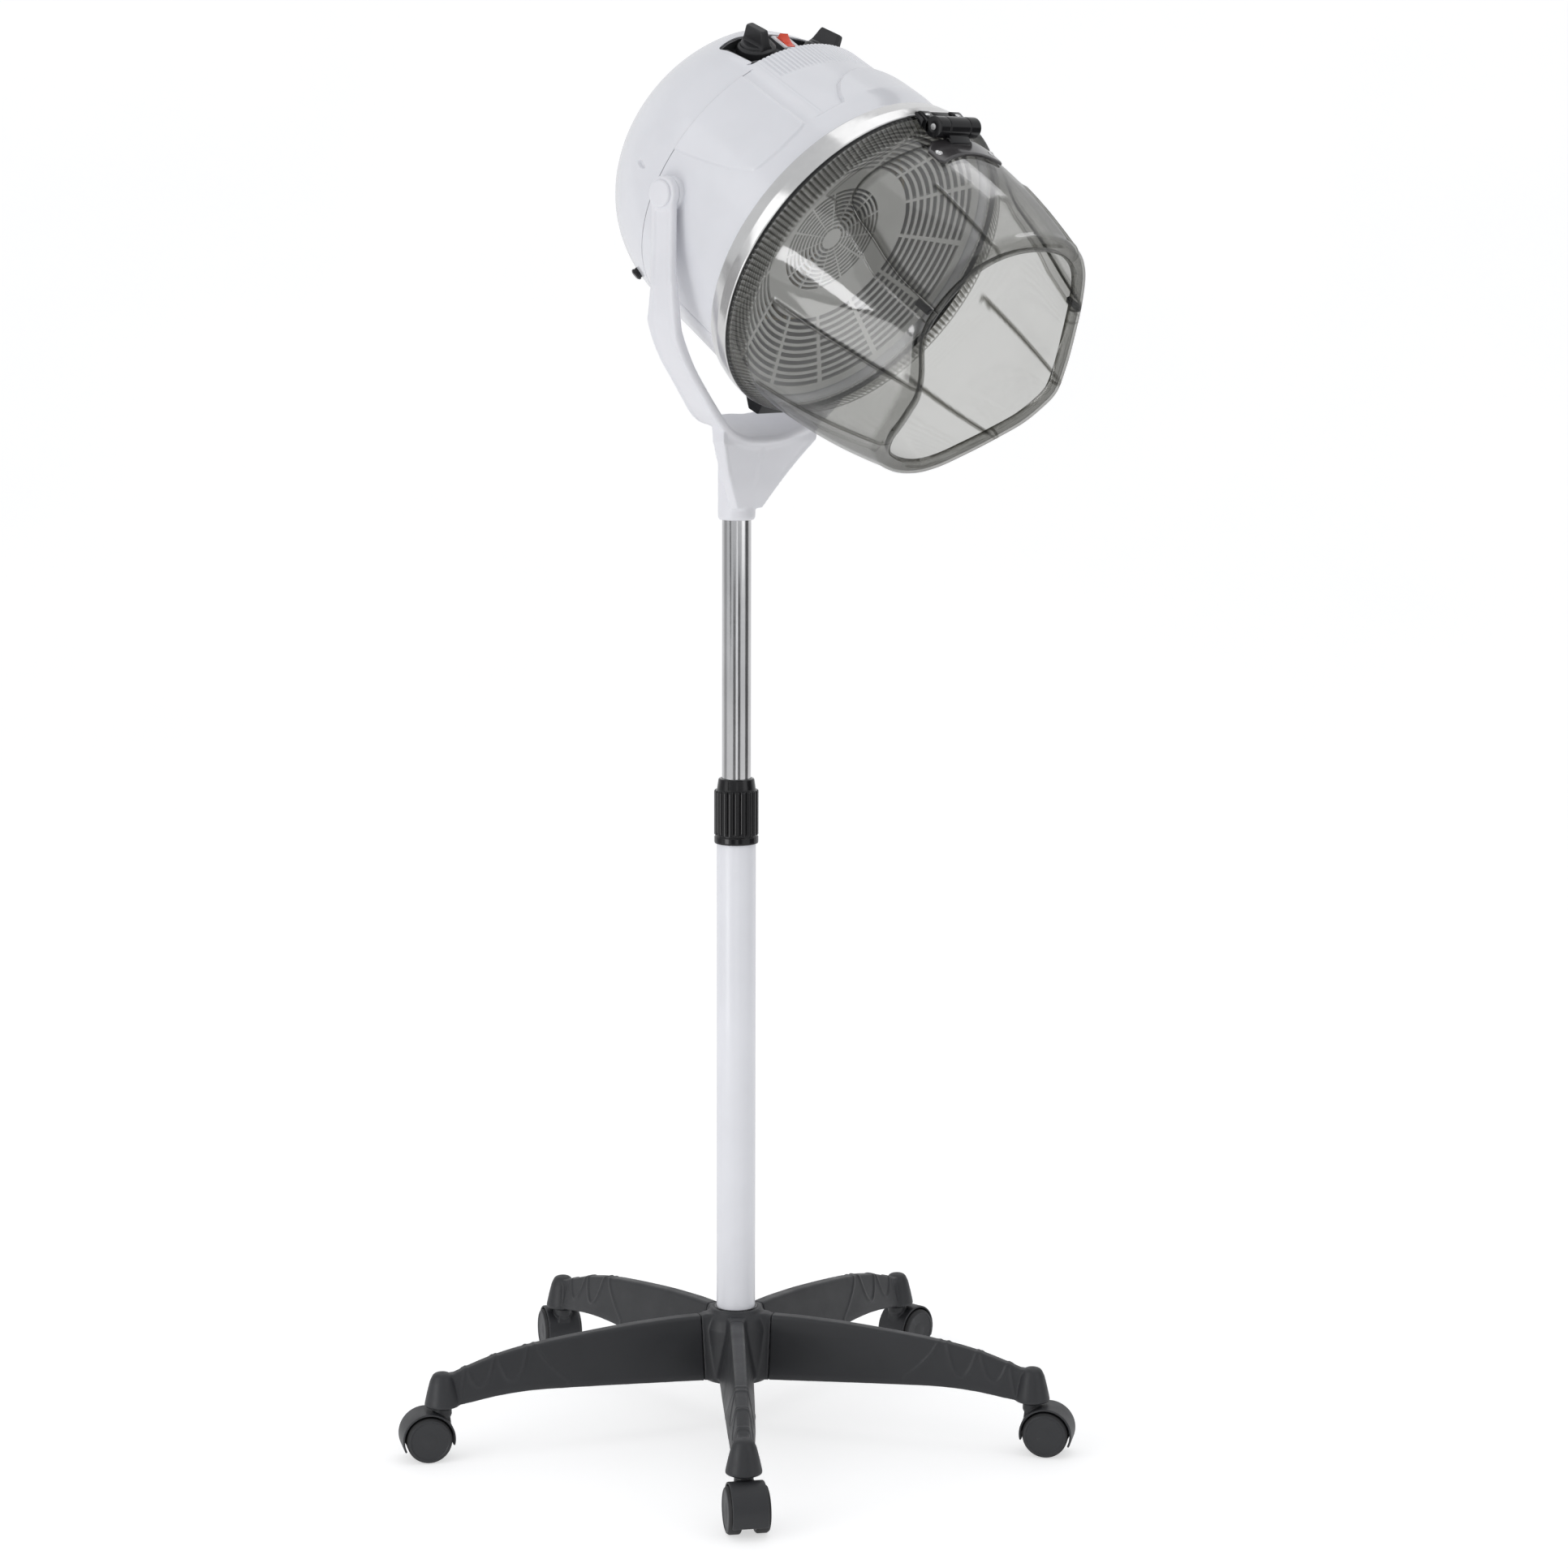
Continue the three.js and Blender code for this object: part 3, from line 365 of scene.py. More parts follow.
LOOKS = {
    "shell": ("gloss_white", moulded(
        "gloss white shell", color=(0.82, 0.825, 0.862), rough=0.20, grain=0.012,
        grain_scale=1800, coat=0.35, wear=0.12, sub=0.04)),
    "yoke": ("white_moulding", moulded(
        "satin white moulding", color=(0.83, 0.83, 0.865), rough=0.38, grain=0.05,
        wear=0.15, sub=0.05, flow=0.025)),
    "column": ("white_enamel", moulded(
        "white powder coat", color=(0.86, 0.865, 0.905), rough=0.33, grain=0.16,
        grain_scale=1300, coat=0.15, wear=0.1, flow=0.03)),
    "chrome": ("chrome", metal(
        "bright chrome band", color=(0.84, 0.835, 0.83), rough=0.15, brush=0.03, scale=120)),
    "tube": ("chrome", metal(
        "chromed tube", color=(0.72, 0.72, 0.725), rough=0.15, stretch=(1, 1, 0.02),
        scale=900)),
    "steel": ("steel", metal(
        "plain steel", color=(0.50, 0.51, 0.52), rough=0.34, brush=0.08, scale=500)),
    "screw": ("steel", metal("bright screw", color=(0.78, 0.78, 0.78), rough=0.16, scale=900)),
    "smoke": ("smoke", smoke_plastic(
        # edge: the colour at a slant and in the painted shade lines
        "smoke clear plastic", through=(0.795, 0.795, 0.785), edge=(0.19, 0.186, 0.162),
        gloss=0.035, haze=0.006)),
    "black": ("gloss_black", moulded(
        "gloss black moulding", color=(0.008, 0.008, 0.009), rough=0.17, grain=0.02,
        wear=0.3, wear_color=(0.04, 0.04, 0.042), coat=0.1, spec=0.34)),
    "knob": ("gloss_black", moulded(
        "satin black dial", color=(0.022, 0.022, 0.024), rough=0.40, grain=0.08,
        wear=0.45, wear_color=(0.075, 0.075, 0.08))),
    "nylon": ("black_nylon", moulded(
        "black nylon", color=(0.026, 0.027, 0.030), rough=0.46, grain=0.12,
        grain_scale=1500, wear=0.5, wear_color=(0.075, 0.077, 0.082), speck=0.05,
        flow=0.05)),
    "rubber": ("black_nylon", moulded(
        "wheel tread", color=(0.018, 0.018, 0.019), rough=0.62, grain=0.15,
        grain_scale=1200, wear=0.4, wear_color=(0.06, 0.06, 0.06), speck=0.12)),
    "panel": ("panel_grey", moulded(
        "dark grey panel", color=(0.060, 0.061, 0.066), rough=0.42, grain=0.14,
        grain_scale=1700, wear_color=(0.13, 0.13, 0.135))),
    "bezel": ("gloss_white", moulded(
        "white bezel", color=(0.72, 0.72, 0.74), rough=0.30, wear=0.1)),
    "red": ("red_button", moulded(
        "red lens", color=(0.86, 0.060, 0.008), rough=0.28, dark=(0.66, 0.030, 0.005),
        grain=0.02, coat=0.2, wear=0.2, wear_color=(0.95, 0.28, 0.10), sub=0.35)),
    "grille": ("inner_grey", moulded(
        "pale grille", color=(0.80, 0.80, 0.79), rough=0.40, grain=0.06, wear=0.1)),
    "leaf": ("gloss_black", moulded(
        "dark hinge leaf", color=(0.040, 0.037, 0.039), rough=0.22, coat=0.5, wear=0.3,
        wear_color=(0.10, 0.10, 0.10))),
    "inner": ("inner_grey", moulded(
        "inner grey moulding", color=(0.30, 0.305, 0.31), rough=0.55, grain=0.06, wear=0.1)),
    "mica": ("mica", moulded(
        "mica board", color=(0.50, 0.42, 0.26), rough=0.5, dark=(0.38, 0.31, 0.18),
        grain=0.1, wear=0.2, speck=0.3)),
    "ink": ("gloss_white", moulded(
        "printed white", color=(0.75, 0.76, 0.78), rough=0.5, grain=0.02, wear=0.0)),
    "ink_red": ("red_button", moulded(
        "printed red", color=(0.65, 0.06, 0.04), rough=0.5, grain=0.02, wear=0.0)),
    "ink_green": ("inner_grey", moulded(
        "printed green", color=(0.35, 0.55, 0.05), rough=0.5, grain=0.02, wear=0.0)),
}


# ------------------------------------------------------------------ mesh helpers
def add_object(name, mesh):
    part = bpy.data.objects.new(name, mesh)
    scene.collection.objects.link(part)
    return part


def raw_object(name, verts, faces):
    """An object from scene coordinates in metres."""
    mesh = bpy.data.meshes.new(name)
    mesh.from_pydata([tuple(v) for v in verts], [], [tuple(int(i) for i in f) for f in faces])
    mesh.update()
    return add_object(name, mesh)


def make_mesh(name, verts, faces, look, tint_and_shade=None):
    """An object from points in millimetres about the column."""
    verts = (np.asarray(verts, float).reshape(-1, 3) + COLUMN) * MM
    part = raw_object(name, verts.tolist(), faces)
    part.data.materials.append(LOOKS[look][1])
    part["look"] = look
    if tint_and_shade is not None:
        layer = part.data.attributes.new("tint_and_shade", "FLOAT", "POINT")
        layer.data.foreach_set("value", np.asarray(tint_and_shade, np.float32).ravel())
    return part


def moved_copy(master, name, matrix):
    mesh = master.data.copy()
    mesh.transform(matrix)
    part = add_object(name, mesh)
    part["look"] = master["look"]
    return part


def remove(part):
    mesh = part.data
    bpy.data.objects.remove(part)
    bpy.data.meshes.remove(mesh)


def grid(rows, cols, wrap_rows=False, wrap_cols=False, base=0):
    """Quads of a grid whose vertex (i, j) is base + i * cols + j."""
    faces = []
    for i in range(rows if wrap_rows else rows - 1):
        this, after = base + i * cols, base + (i + 1) % rows * cols
        for j in range(cols if wrap_cols else cols - 1):
            k = (j + 1) % cols
            faces.append((this + j, after + j, after + k, this + k))
    return faces


def modifier(part, kind, **props):
    added = part.modifiers.new(kind.lower(), kind)
    for key, value in props.items():
        setattr(added, key, value)


def apply(part, kind, **props):
    """Adds a modifier; the stack's result becomes the object's own mesh."""
    modifier(part, kind, **props)
    graph = bpy.context.evaluated_depsgraph_get()
    graph.update()
    result = bpy.data.meshes.new_from_object(part.evaluated_get(graph))
    old = part.data
    part.modifiers.clear()
    part.data = result
    bpy.data.meshes.remove(old)


def round_edges(part, width, segments, angle):
    apply(part, "BEVEL", width=width * MM, segments=segments, limit_method="ANGLE",
          angle_limit=rad(angle))


@contextmanager
def editing(part):
    mesh = bmesh.new()
    mesh.from_mesh(part.data)
    yield mesh
    mesh.to_mesh(part.data)
    mesh.free()


def tidy(part, sharp=38, merge=0.0, outward=True):
    """Welds, turns faces outward, shades smooth, keeps edges over `sharp` degrees crisp."""
    limit = rad(sharp)
    with editing(part) as mesh:
        if merge:
            bmesh.ops.remove_doubles(mesh, verts=mesh.verts, dist=merge * MM)
        if outward:
            bmesh.ops.recalc_face_normals(mesh, faces=mesh.faces)
        for face in mesh.faces:
            face.smooth = True
        for edge in mesh.edges:
            edge.smooth = not (len(edge.link_faces) == 2 and edge.calc_face_angle(0) > limit)
    return part


def give(part, body, *nodes):
    """The finished piece rides on its body and stands for its CAD nodes."""
    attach(part, body)
    if nodes:
        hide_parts(*nodes)


def finish_node(node, look, bevel=0.0):
    """A CAD node that is kept gets its material, and softened edges."""
    part = NODES[node]
    for slot in part.material_slots:
        slot.material = LOOKS[look][1]
    if not part.material_slots:
        part.data.materials.append(LOOKS[look][1])
    if bevel:
        modifier(part, "BEVEL", width=bevel * MM, segments=2, limit_method="ANGLE",
                 angle_limit=rad(40))


def lathe(name, profile, segments, look, place=in_place, closed=True, sharp=38, wobble=None):
    """Turned form from (radius, height) points about local +Z."""
    radius, height = np.array(profile, float).T
    angle = (np.arange(segments) * 2 * math.pi / segments)[:, None]
    if wobble is not None:
        radius = wobble(radius, angle, height)
    pts = xyz(radius * np.cos(angle), radius * np.sin(angle), height)
    faces = grid(segments, len(height), True, closed)
    return tidy(make_mesh(name, place(pts.reshape(-1, 3)), faces, look), sharp, merge=0.004)


def turn(name, corners, steps, segments, look, place=in_place, closed=False, sharp=38,
         radius=0):
    """Turned form from filleted corners; an open profile starts and ends on the axis."""
    profile = fillet(corners, steps, radius, closed)
    return lathe(name, profile, segments, look, place, closed, sharp)


def prism(name, outline, low, high, look, place=in_place, bevel=0.0, segments=3, sharp=38):
    """A straight extrusion of a closed outline along local +Z, with rounded edges."""
    outline = np.array(outline, float)
    count = len(outline)
    pts = np.r_[np.c_[outline, np.full(count, low)], np.c_[outline, np.full(count, high)]]
    faces = [tuple(range(count))[::-1], tuple(range(count, 2 * count))]
    faces += [(i, (i + 1) % count, count + (i + 1) % count, count + i) for i in range(count)]
    part = tidy(make_mesh(name, place(pts), faces, look), sharp)
    if bevel:
        round_edges(part, bevel, segments, 35)
        tidy(part, sharp)
    return part


def loft(name, rows, look, flip_caps=False):
    """Closed sections joined in a row, with both ends capped. Not yet tidied."""
    count, size = np.shape(rows)[:2]
    caps = [tuple(range(size)), tuple(range((count - 1) * size, count * size))[::-1]]
    if flip_caps:
        caps = [cap[::-1] for cap in caps]
    return make_mesh(name, rows, grid(count, size, False, True) + caps, look)


def slab(name, front, back, look):
    """Two point grids of one shape, joined round their edges."""
    rows, cols = front.shape[:2]
    half = rows * cols
    faces = grid(rows, cols) + grid(rows, cols, base=half)
    rim = [(i * cols + j, (i + 1) * cols + j) for i in range(rows - 1) for j in (0, cols - 1)]
    rim += [(i * cols + j, i * cols + j + 1) for j in range(cols - 1) for i in (0, rows - 1)]
    faces += [(p, q, q + half, p + half) for p, q in rim]
    return make_mesh(name, np.stack([front, back]), faces, look)


def union(name, parts, look, voxel, passes, factor=0.5):
    """Several closed forms fused into one moulding with softened inside corners."""
    mesh = bpy.data.meshes.new(name)
    joined = bmesh.new()
    for part in parts:
        joined.from_mesh(part.data)
    joined.to_mesh(mesh)
    joined.free()
    for part in parts:
        remove(part)
    fused = add_object(name, mesh)
    mesh.materials.append(LOOKS[look][1])
    fused["look"] = look
    modifier(fused, "REMESH", mode="VOXEL", voxel_size=voxel * MM, use_smooth_shade=True)
    apply(fused, "SMOOTH", factor=factor, iterations=passes)
    # guards against the remeshed result coming back without its material
    if not fused.data.materials:
        fused.data.materials.append(LOOKS[look][1])
    return tidy(fused, 60, outward=False)


def cut(part, cutter):
    apply(part, "BOOLEAN", object=cutter, operation="DIFFERENCE", solver="EXACT")
    remove(cutter)


def swing(angle, centre=(0.0, 0.0)):
    """Turn by an angle about the column's axis, then carry out to a centre."""
    axis = Vector((COLUMN[0] * MM, COLUMN[1] * MM, 0))
    out = Vector((centre[0] * MM, centre[1] * MM, 0))
    return (Matrix.Translation(axis + out) @ Matrix.Rotation(angle, 4, "Z")
            @ Matrix.Translation(-axis))


# ------------------------------------------------------------------ stand
def leg_place(i):
    """Centre of leg i's caster stem, and the leg's direction."""
    low, high = node_box(f"caster_stem_{i}")
    centre = (low[:2] + high[:2]) / 2
    return centre, math.atan2(centre[1], centre[0])


LEGS = [leg_place(i) for i in range(1, 6)]


def leg_section(ridge, foot, bottom, top, side_steps=34):
    """Leg outline (y, z): narrow rounded ridge, sides that splay to a flat underside."""
    half = [(ridge, top, 2.6),
            (ridge + (foot - ridge) * 0.30, top - (top - bottom) * 0.24, 12),
            (foot - 0.4, bottom + 6, 4),
            (foot, bottom, 1.6)]
    outline = np.array(fillet([(-y, z, r) for y, z, r in half[::-1]] + half, 5))
    # even spacing round the outline
    ring = np.vstack([outline, outline[:1]])
    run = lengths(ring)
    spots = np.linspace(0, run[-1], 2 * side_steps + 26, endpoint=False)
    return np.c_[interp(spots, run, ring[:, 0]), interp(spots, run, ring[:, 1])]


def leg_beads(pts, bottom, top):
    """Height of the raised beads: scallops that hang from the ridge, and two long arcs."""
    out, y, z = pts[..., 0], pts[..., 1], pts[..., 2]
    down = (top[:, None] - z) + np.abs(y) * 0.55
    bead = np.zeros_like(out)
    for middle, half, depth in ((231, 15.5, 33), (263, 14.0, 27)):
        across = np.clip((out - middle) / half, -1.35, 1.35)
        line = depth * (1 - np.abs(across) ** 2.3)
        slope = np.sqrt(1 + (depth * 2.3 * np.abs(across) ** 1.3 / half) ** 2)
        gap = np.where(np.abs(across) > 1.3, 9, np.abs(down - line) / slope)
        bead = np.maximum(bead, bell(gap, 1.25))
    for at_top, at_bottom, height in ((208, 176, 0.75), (279, 291, 0.9)):
        line = at_top + (at_bottom - at_top) * np.clip(down / 48, 0, 1) ** 1.5
        bead = np.maximum(bead, height * bell(np.abs(out - line), 1.2))
    return bead * smooth01(z - bottom[:, None], 1.0, 5.0)


def leg_mesh(name, tip):
    """One leg along +x, with the round cap over its caster stem."""
    out = dense(38.25, 290, 2.6, [(38.25, 44, 1.2), (196, 290, 1.15)])
    # distance from the column's axis, then ridge height, underside, and half-widths
    top = interp(out, [38, 62, 85, 108, 130, 152, 175, 195, 214, 228, 240, 252, 262, 274, 290],
                 [116, 116, 115, 113.8, 112, 110, 107.7, 105.4, 102.6, 100.2, 97.6, 94.6,
                  91.6, 87.6, 82])
    bottom = interp(out, [38, 130, 175, 200, 214, 232, 250, 262, 272, 290],
                    [53, 57.5, 59.4, 60.3, 60.4, 59.6, 57.8, 56.0, 54.2, 51.6])
    foot = interp(out, [38, 120, 220, 262, 280, 290], [17, 15.6, 13.4, 11.4, 10.2, 9.4])
    ridge = interp(out, [38, 120, 220, 270, 290], [6.6, 6.2, 5.6, 5.2, 5.0])
    rows = []
    for k in range(len(out)):
        section = leg_section(ridge[k], foot[k], bottom[k], top[k])
        rows.append(np.c_[np.full(len(section), out[k]), section])
    pts = np.array(rows)
    bead = leg_beads(pts, bottom, top)
    # beads stand out from the middle of each section, more sideways than up
    y, z = pts[..., 1], pts[..., 2]
    away = np.stack([y * 2.2, z - (z.max(1) + z.min(1))[:, None] / 2], -1)
    away /= np.linalg.norm(away, axis=-1, keepdims=True) + 1e-9
    pts[..., 1:] += away * (bead * 1.15)[..., None]
    leg = tidy(loft(name, pts, "nylon"), 50)
    cap = turn(name + "_cap", [
        (0, 51.35), (17.2, 51.35, 1.2), (16.9, 54.5, 3), (14.6, 65, 14), (11.8, 76, 14),
        (8.4, 83.2, 6), (0, 84.8)], 5, 56, "nylon", lambda pts: pts + [tip, 0, 0])

    def fall(pts):
        """The crest's top drops a little toward the tip."""
        drop = np.where(pts[:, 2] > 70, (pts[:, 0] - 276) * 0.06, 0)
        return xyz(pts[:, 0], pts[:, 1], pts[:, 2] - drop)

    crest = prism(name + "_crest", [
        (276, -5.2), (289, -6.2), (297, -6.4), (297, 6.4), (289, 6.2), (276, 5.2)],
        60, 83.2, "nylon", fall, bevel=2.2, segments=4)
    return union(name, [leg, cap, crest], "nylon", voxel=0.95, passes=2, factor=0.35)


def build_legs():
    master = leg_mesh("leg_master", float(np.hypot(*LEGS[0][0])))
    for i, (_, angle) in enumerate(LEGS, 1):
        give(moved_copy(master, f"leg_{i}", swing(angle)), "stand", f"base_leg_{i}")
    remove(master)


def build_hub():
    bottom = node_box("base_hub")[0][2] + 0.1
    parts = [turn("hub_core", [
        (0, bottom), (33, bottom, 1.5), (34.5, 56, 4), (34, 103, 5), (30.5, 112.5, 5),
        (25.6, HUB_TOP - 2.4, 2), (25.4, HUB_TOP - 0.2, 1), (21.2, HUB_TOP - 0.2, 0.8),
        (20.0, HUB_TOP - 2.2, 0.5), (20.0, 100, 0.5), (0, 100)], 4, 90, "nylon")]
    for i, (_, angle) in enumerate(LEGS, 1):
        rows = []
        # distance out, and how much the stub swells there
        for out, grow in ((20, 5.0), (27, 3.2), (32, 1.2), (35, 0.2), (37.9, 0.0)):
            section = leg_section(6.6 + grow, 17 + grow * 0.9, 52.8, 116 + min(grow, 1.2), 20)
            rows.append(np.c_[np.full(len(section), out), section])
        stub = loft(f"stub{i}", rows, "nylon")
        stub.data.transform(swing(angle))
        parts.append(tidy(stub))
    give(union("hub", parts, "nylon", voxel=1.1, passes=5), "stand", "base_hub")
    # trim ring where the column enters
    ring = turn("hub_collar", [
        (19.3, HUB_TOP - 6), (21.6, HUB_TOP - 6), (21.6, HUB_TOP - 0.9),
        (20.9, HUB_TOP + 0.5), (19.3, HUB_TOP + 0.5)], 3, 80, "black", closed=True, radius=0.4)
    give(ring, "stand")


def build_column():
    wall = 1.5
    for name, body, node, radius, low, high, edge in (
            ("column", "stand", "outer_column", COL_R, COL_LO[2], COL_HI[2], 0.5),
            ("tube", "upper_tube", "upper_tube", TUBE_R, TUBE_LO[2], TUBE_HI[2], 0.4)):
        pipe = turn(name, [(radius - wall, low), (radius, low), (radius, high),
                           (radius - wall, high)], 3, 128, name, closed=True, radius=edge)
        give(pipe, body, node)
    finish_node("column_bush", "black")


def build_lock_collar():
    """Lobed grip between a plain band and a coned top."""
    low, high = (corner[2] for corner in node_box("height_lock_collar"))
    grip = 21.5
    lobes = 20
    profile = fillet([
        (COL_R + 0.45, low), (grip - 0.3, low, 0.8), (grip, low + 1.5, 0.8),
        (grip, low + 6.4, 0.6), (grip - 1.0, low + 7.4, 0.4), (grip - 0.9, low + 8.4)],
        3, closed=False)
    profile += [(grip, z) for z in np.linspace(low + 8.8, low + 51.3, 26)]
    profile += fillet([
        (grip - 0.5, low + 52.1), (19.3, low + 52.2, 0.3), (18.8, low + 53.4, 0.5),
        (17.5, high - 1.0, 0.6), (16.7, high - 0.2, 0.3), (TUBE_R + 0.5, high)],
        3, closed=False)
    profile += [(TUBE_R + 0.5, low + 50), (17.6, low + 46), (17.6, low + 21),
                (COL_R + 0.45, low + 19)]

    def flute(radius, angle, height):
        phase = (angle * lobes / (2 * math.pi)) % 1.0
        hollow = (np.abs(phase - 0.5) * 2) ** 2.6
        on = smooth01(height, low + 8.4, low + 10.4) * (height < low + 52.15) * (radius > 20)
        return radius - hollow * 1.75 * on

    collar = lathe("lock_collar", profile, 400, "black", sharp=50, wobble=flute)
    give(collar, "lock_collar", "height_lock_collar")


def build_casters():
    low, high = node_box("caster_wheel_left_1")
    axle_x, axle_z = 15.0, (high[2] - low[2]) / 2  # from the stem's axis, above the floor
    top = node_box("caster_housing_1")[1][2]

    def arc(radius, start, end, steps):
        angles = [rad(start + (end - start) * k / steps) for k in range(steps + 1)]
        return [(axle_x + radius * math.cos(q), axle_z + radius * math.sin(q)) for q in angles]

    def upright(pts):
        """An outline drawn as (x, z) and extruded across y."""
        return pts[:, [0, 2, 1]]

    cover = prism("cover", arc(25.7, -26, 195, 44) + arc(23.6, 195, -26, 44), -16.8, 16.8,
                  "nylon", upright, bevel=0.9)
    web = prism("web", arc(23.9, 0, 180, 30) + arc(11.5, 184, 356, 20), -6.2, 6.2, "nylon",
                upright, bevel=0.8)
    neck = turn("neck", [
        (0, 36), (6.0, 36, 1), (9.2, 43, 2), (9.0, top - 0.6, 0.5), (8.4, top - 0.05, 0.5),
        (0, top - 0.05)], 3, 48, "nylon")
    heel = prism("heel", [(-9, 24), (7, 24), (7, 42), (-7, 41)], -6.2, 6.2, "nylon", upright,
                 bevel=1.0)
    house = union("house", [cover, web, neck, heel], "nylon", voxel=0.62, passes=2, factor=0.4)
    # rounded tread, shallow groove, dished disc outside
    profile = fillet([
        (3.4, 6.9), (20.6, 6.9, 0.6), (22.0, 8.3, 1.2), (22.0, 17.2, 1.6), (20.6, 19.3, 0.6),
        (18.6, 19.9, 0.4), (17.9, 19.2, 0.4), (8, 19.0, 4), (0.0, 20.1)], 4, closed=False)
    profile += [(0.0, 18.2), (3.4, 18.2)]
    tread = 19.6  # faces inside this radius are nylon
    for i, (centre, _) in enumerate(LEGS, 1):
        roll = joint_at(f"caster_roll_left_{i}")
        place = swing(math.atan2(roll[1] - centre[1], roll[0] - centre[0]), centre)
        give(moved_copy(house, f"caster_cover_{i}", place), f"caster_fork_{i}",
             f"caster_housing_{i}")
        for side, sign in (("left", 1), ("right", -1)):
            wheel = lathe(f"wheel_{side}_{i}", profile, 72, "rubber", lambda pts: xyz(
                axle_x + pts[:, 0], sign * pts[:, 2], axle_z + pts[:, 1]))
            wheel.data.materials.append(LOOKS["nylon"][1])
            for face in wheel.data.polygons:
                x, _, z = face.center
                if math.hypot(x - (axle_x + COLUMN[0]) * MM, z - axle_z * MM) < tread * MM:
                    face.material_index = 1
            wheel.data.transform(place)
            give(wheel, f"caster_wheel_{side}_{i}", f"caster_wheel_{side}_{i}")
        finish_node(f"caster_stem_{i}", "steel", bevel=0.3)
        finish_node(f"caster_axle_{i}", "steel", bevel=0.3)
    remove(house)


# ------------------------------------------------------------------ yoke
# Half of the blade, (x, z) from the pivot down to the middle
BLADE_OUTER = [
    (ARM_X - 0.2, PIVOT[2]), (ARM_X - 0.2, 1180), (ARM_X - 0.2, 1150), (ARM_X - 0.6, 1124),
    (ARM_X - 4.5, 1104), (ARM_X - 11, 1086), (ARM_X - 22, 1067), (124, 1047), (104, 1026),
    (86, 1007), (70, 992.5), (56, 983), (42, 976.5), (24, 971.5), (0, 969.5)]
BLADE_INNER = [
    (ARM_X - 8.4, PIVOT[2]), (ARM_X - 8.4, 1180), (ARM_X - 8.6, 1150), (ARM_X - 9.6, 1126),
    (ARM_X - 14, 1108), (ARM_X - 20.5, 1091), (ARM_X - 31, 1073), (116, 1053), (96.5, 1032),
    (78.5, 1014), (64, 1000.5), (51.5, 991.5), (39, 985.2), (23, 980.2), (0, 978.4)]


def blade_line(points, count=150):
    """Smooth curve through the points of one half, then its mirror image."""
    points = np.array(points)
    last = len(points) - 1
    run = lengths(points)
    spots = np.linspace(0, run[-1], count)
    i = np.clip(np.searchsorted(run, spots) - 1, 0, last - 1)
    t = ((spots - run[i]) / (run[i + 1] - run[i]))[:, None]
    before, start = points[np.maximum(i - 1, 0)], points[i]
    end, after = points[i + 1], points[np.minimum(i + 2, last)]
    half = 0.5 * ((2 * start) + (-before + end) * t
                  + (2 * before - 5 * start + 4 * end - after) * t * t
                  + (-before + 3 * start - 3 * end + after) * t ** 3)
    return np.vstack([half, half[-2::-1] * [-1, 1]])


def yoke_blade():
    outer, inner = blade_line(BLADE_OUTER), blade_line(BLADE_INNER)
    x, z = np.abs(outer[:, 0]), outer[:, 1]
    front = interp(x, [0, 12, 40, 72, 113, 148, ARM_X - 5, ARM_X],
                   [-37.6, -38, -40, -48, -57, -63, -68.5, -71.0])
    rear = interp(x, [0, 12, 65, 84, 124, 153, ARM_X - 2, ARM_X],
                  [22, 21.4, 1.5, -7, -17, -28, -38, -42.0])
    front = np.where(z > 1124, interp(z, [1124, 1160, 1195], [-69.8, -70.4, -71.2]), front)
    rear = np.where(z > 1124, interp(z, [1124, 1160, 1195], [-39.5, -42, -42.4]), rear)
    share = np.linspace(0, 1, 26)
    width = (rear - front)[:, None]
    y = front[:, None] + share * width
    edge = np.minimum(share, 1 - share) * width

    def rounding(radius):
        inset = np.clip(radius - edge, 0, radius)
        return radius - np.sqrt(np.clip(radius ** 2 - inset ** 2, 0, None))

    inward = inner - outer
    inward = (inward / np.hypot(*inward.T)[:, None])[:, None]
    # the outer face has a shallow channel between its rims
    sunk = rounding(3.6) + 1.5 * smooth01(edge, 5.2, 6.8)
    outer = outer[:, None] + inward * sunk[..., None]
    inner = inner[:, None] - inward * rounding(3.0)[..., None]
    face = np.concatenate([outer, inner[:, ::-1]], 1)
    pts = xyz(face[..., 0], np.concatenate([y, y[:, ::-1]], 1), face[..., 1])
    lean = smooth01(1130 - pts[..., 2], 0, 90)
    pts[..., 2] += 0.36 * (pts[..., 1] + 38) * lean
    return tidy(loft("y_blade", pts, "yoke"))


def yoke_gusset():
    """Front plate that widens upward from the socket to the arms, shallow V in plan."""
    rows, cols = 54, 65
    low, narrow, wide = 910, 17.2, 65.5
    rise = (np.arange(rows) / (rows - 1))[:, None]
    across = -1 + 2 * np.arange(cols) / (cols - 1)
    half = narrow + (wide - narrow) * np.minimum(1, rise / 0.80)
    x = across * half
    top = interp(np.abs(across) * wide, [0, 12, 24, 34, 42, 50, 56, 66],
                 [972.6, 973.2, 974.8, 977.3, 980.0, 983.6, 986.8, 993.0])
    z = low + (top - low) * rise
    at_top = 1.5 + interp(np.abs(x), [0, 12, 40, 66], [-37.6, -38, -40.5, -46.4])
    y = -16.5 + (at_top + 16.5) * np.minimum(1.0, (z - 906) / 68)
    # wrapped round the socket, whose radius is 18
    socket = -np.sqrt(np.maximum(18 ** 2 - x * x, 0)) + 1.2
    y = np.where(np.abs(x) < 17, np.minimum(y, socket), y)
    # two sunken fields, either side of a middle rib
    dip = (1.1 * smooth01((half - np.abs(x)) * 0.8, 4.5, 7.0) * smooth01(top - z, 3, 7)
           * smooth01(z, 925, 950) * smooth01(np.abs(x), 1.6, 3.4))
    thick = 11.0 + 5.0 * smooth01(np.abs(x), 30, 66) * rise
    return tidy(slab("y_plate", xyz(x, y + dip, z), xyz(x, y + thick, z), "yoke"))


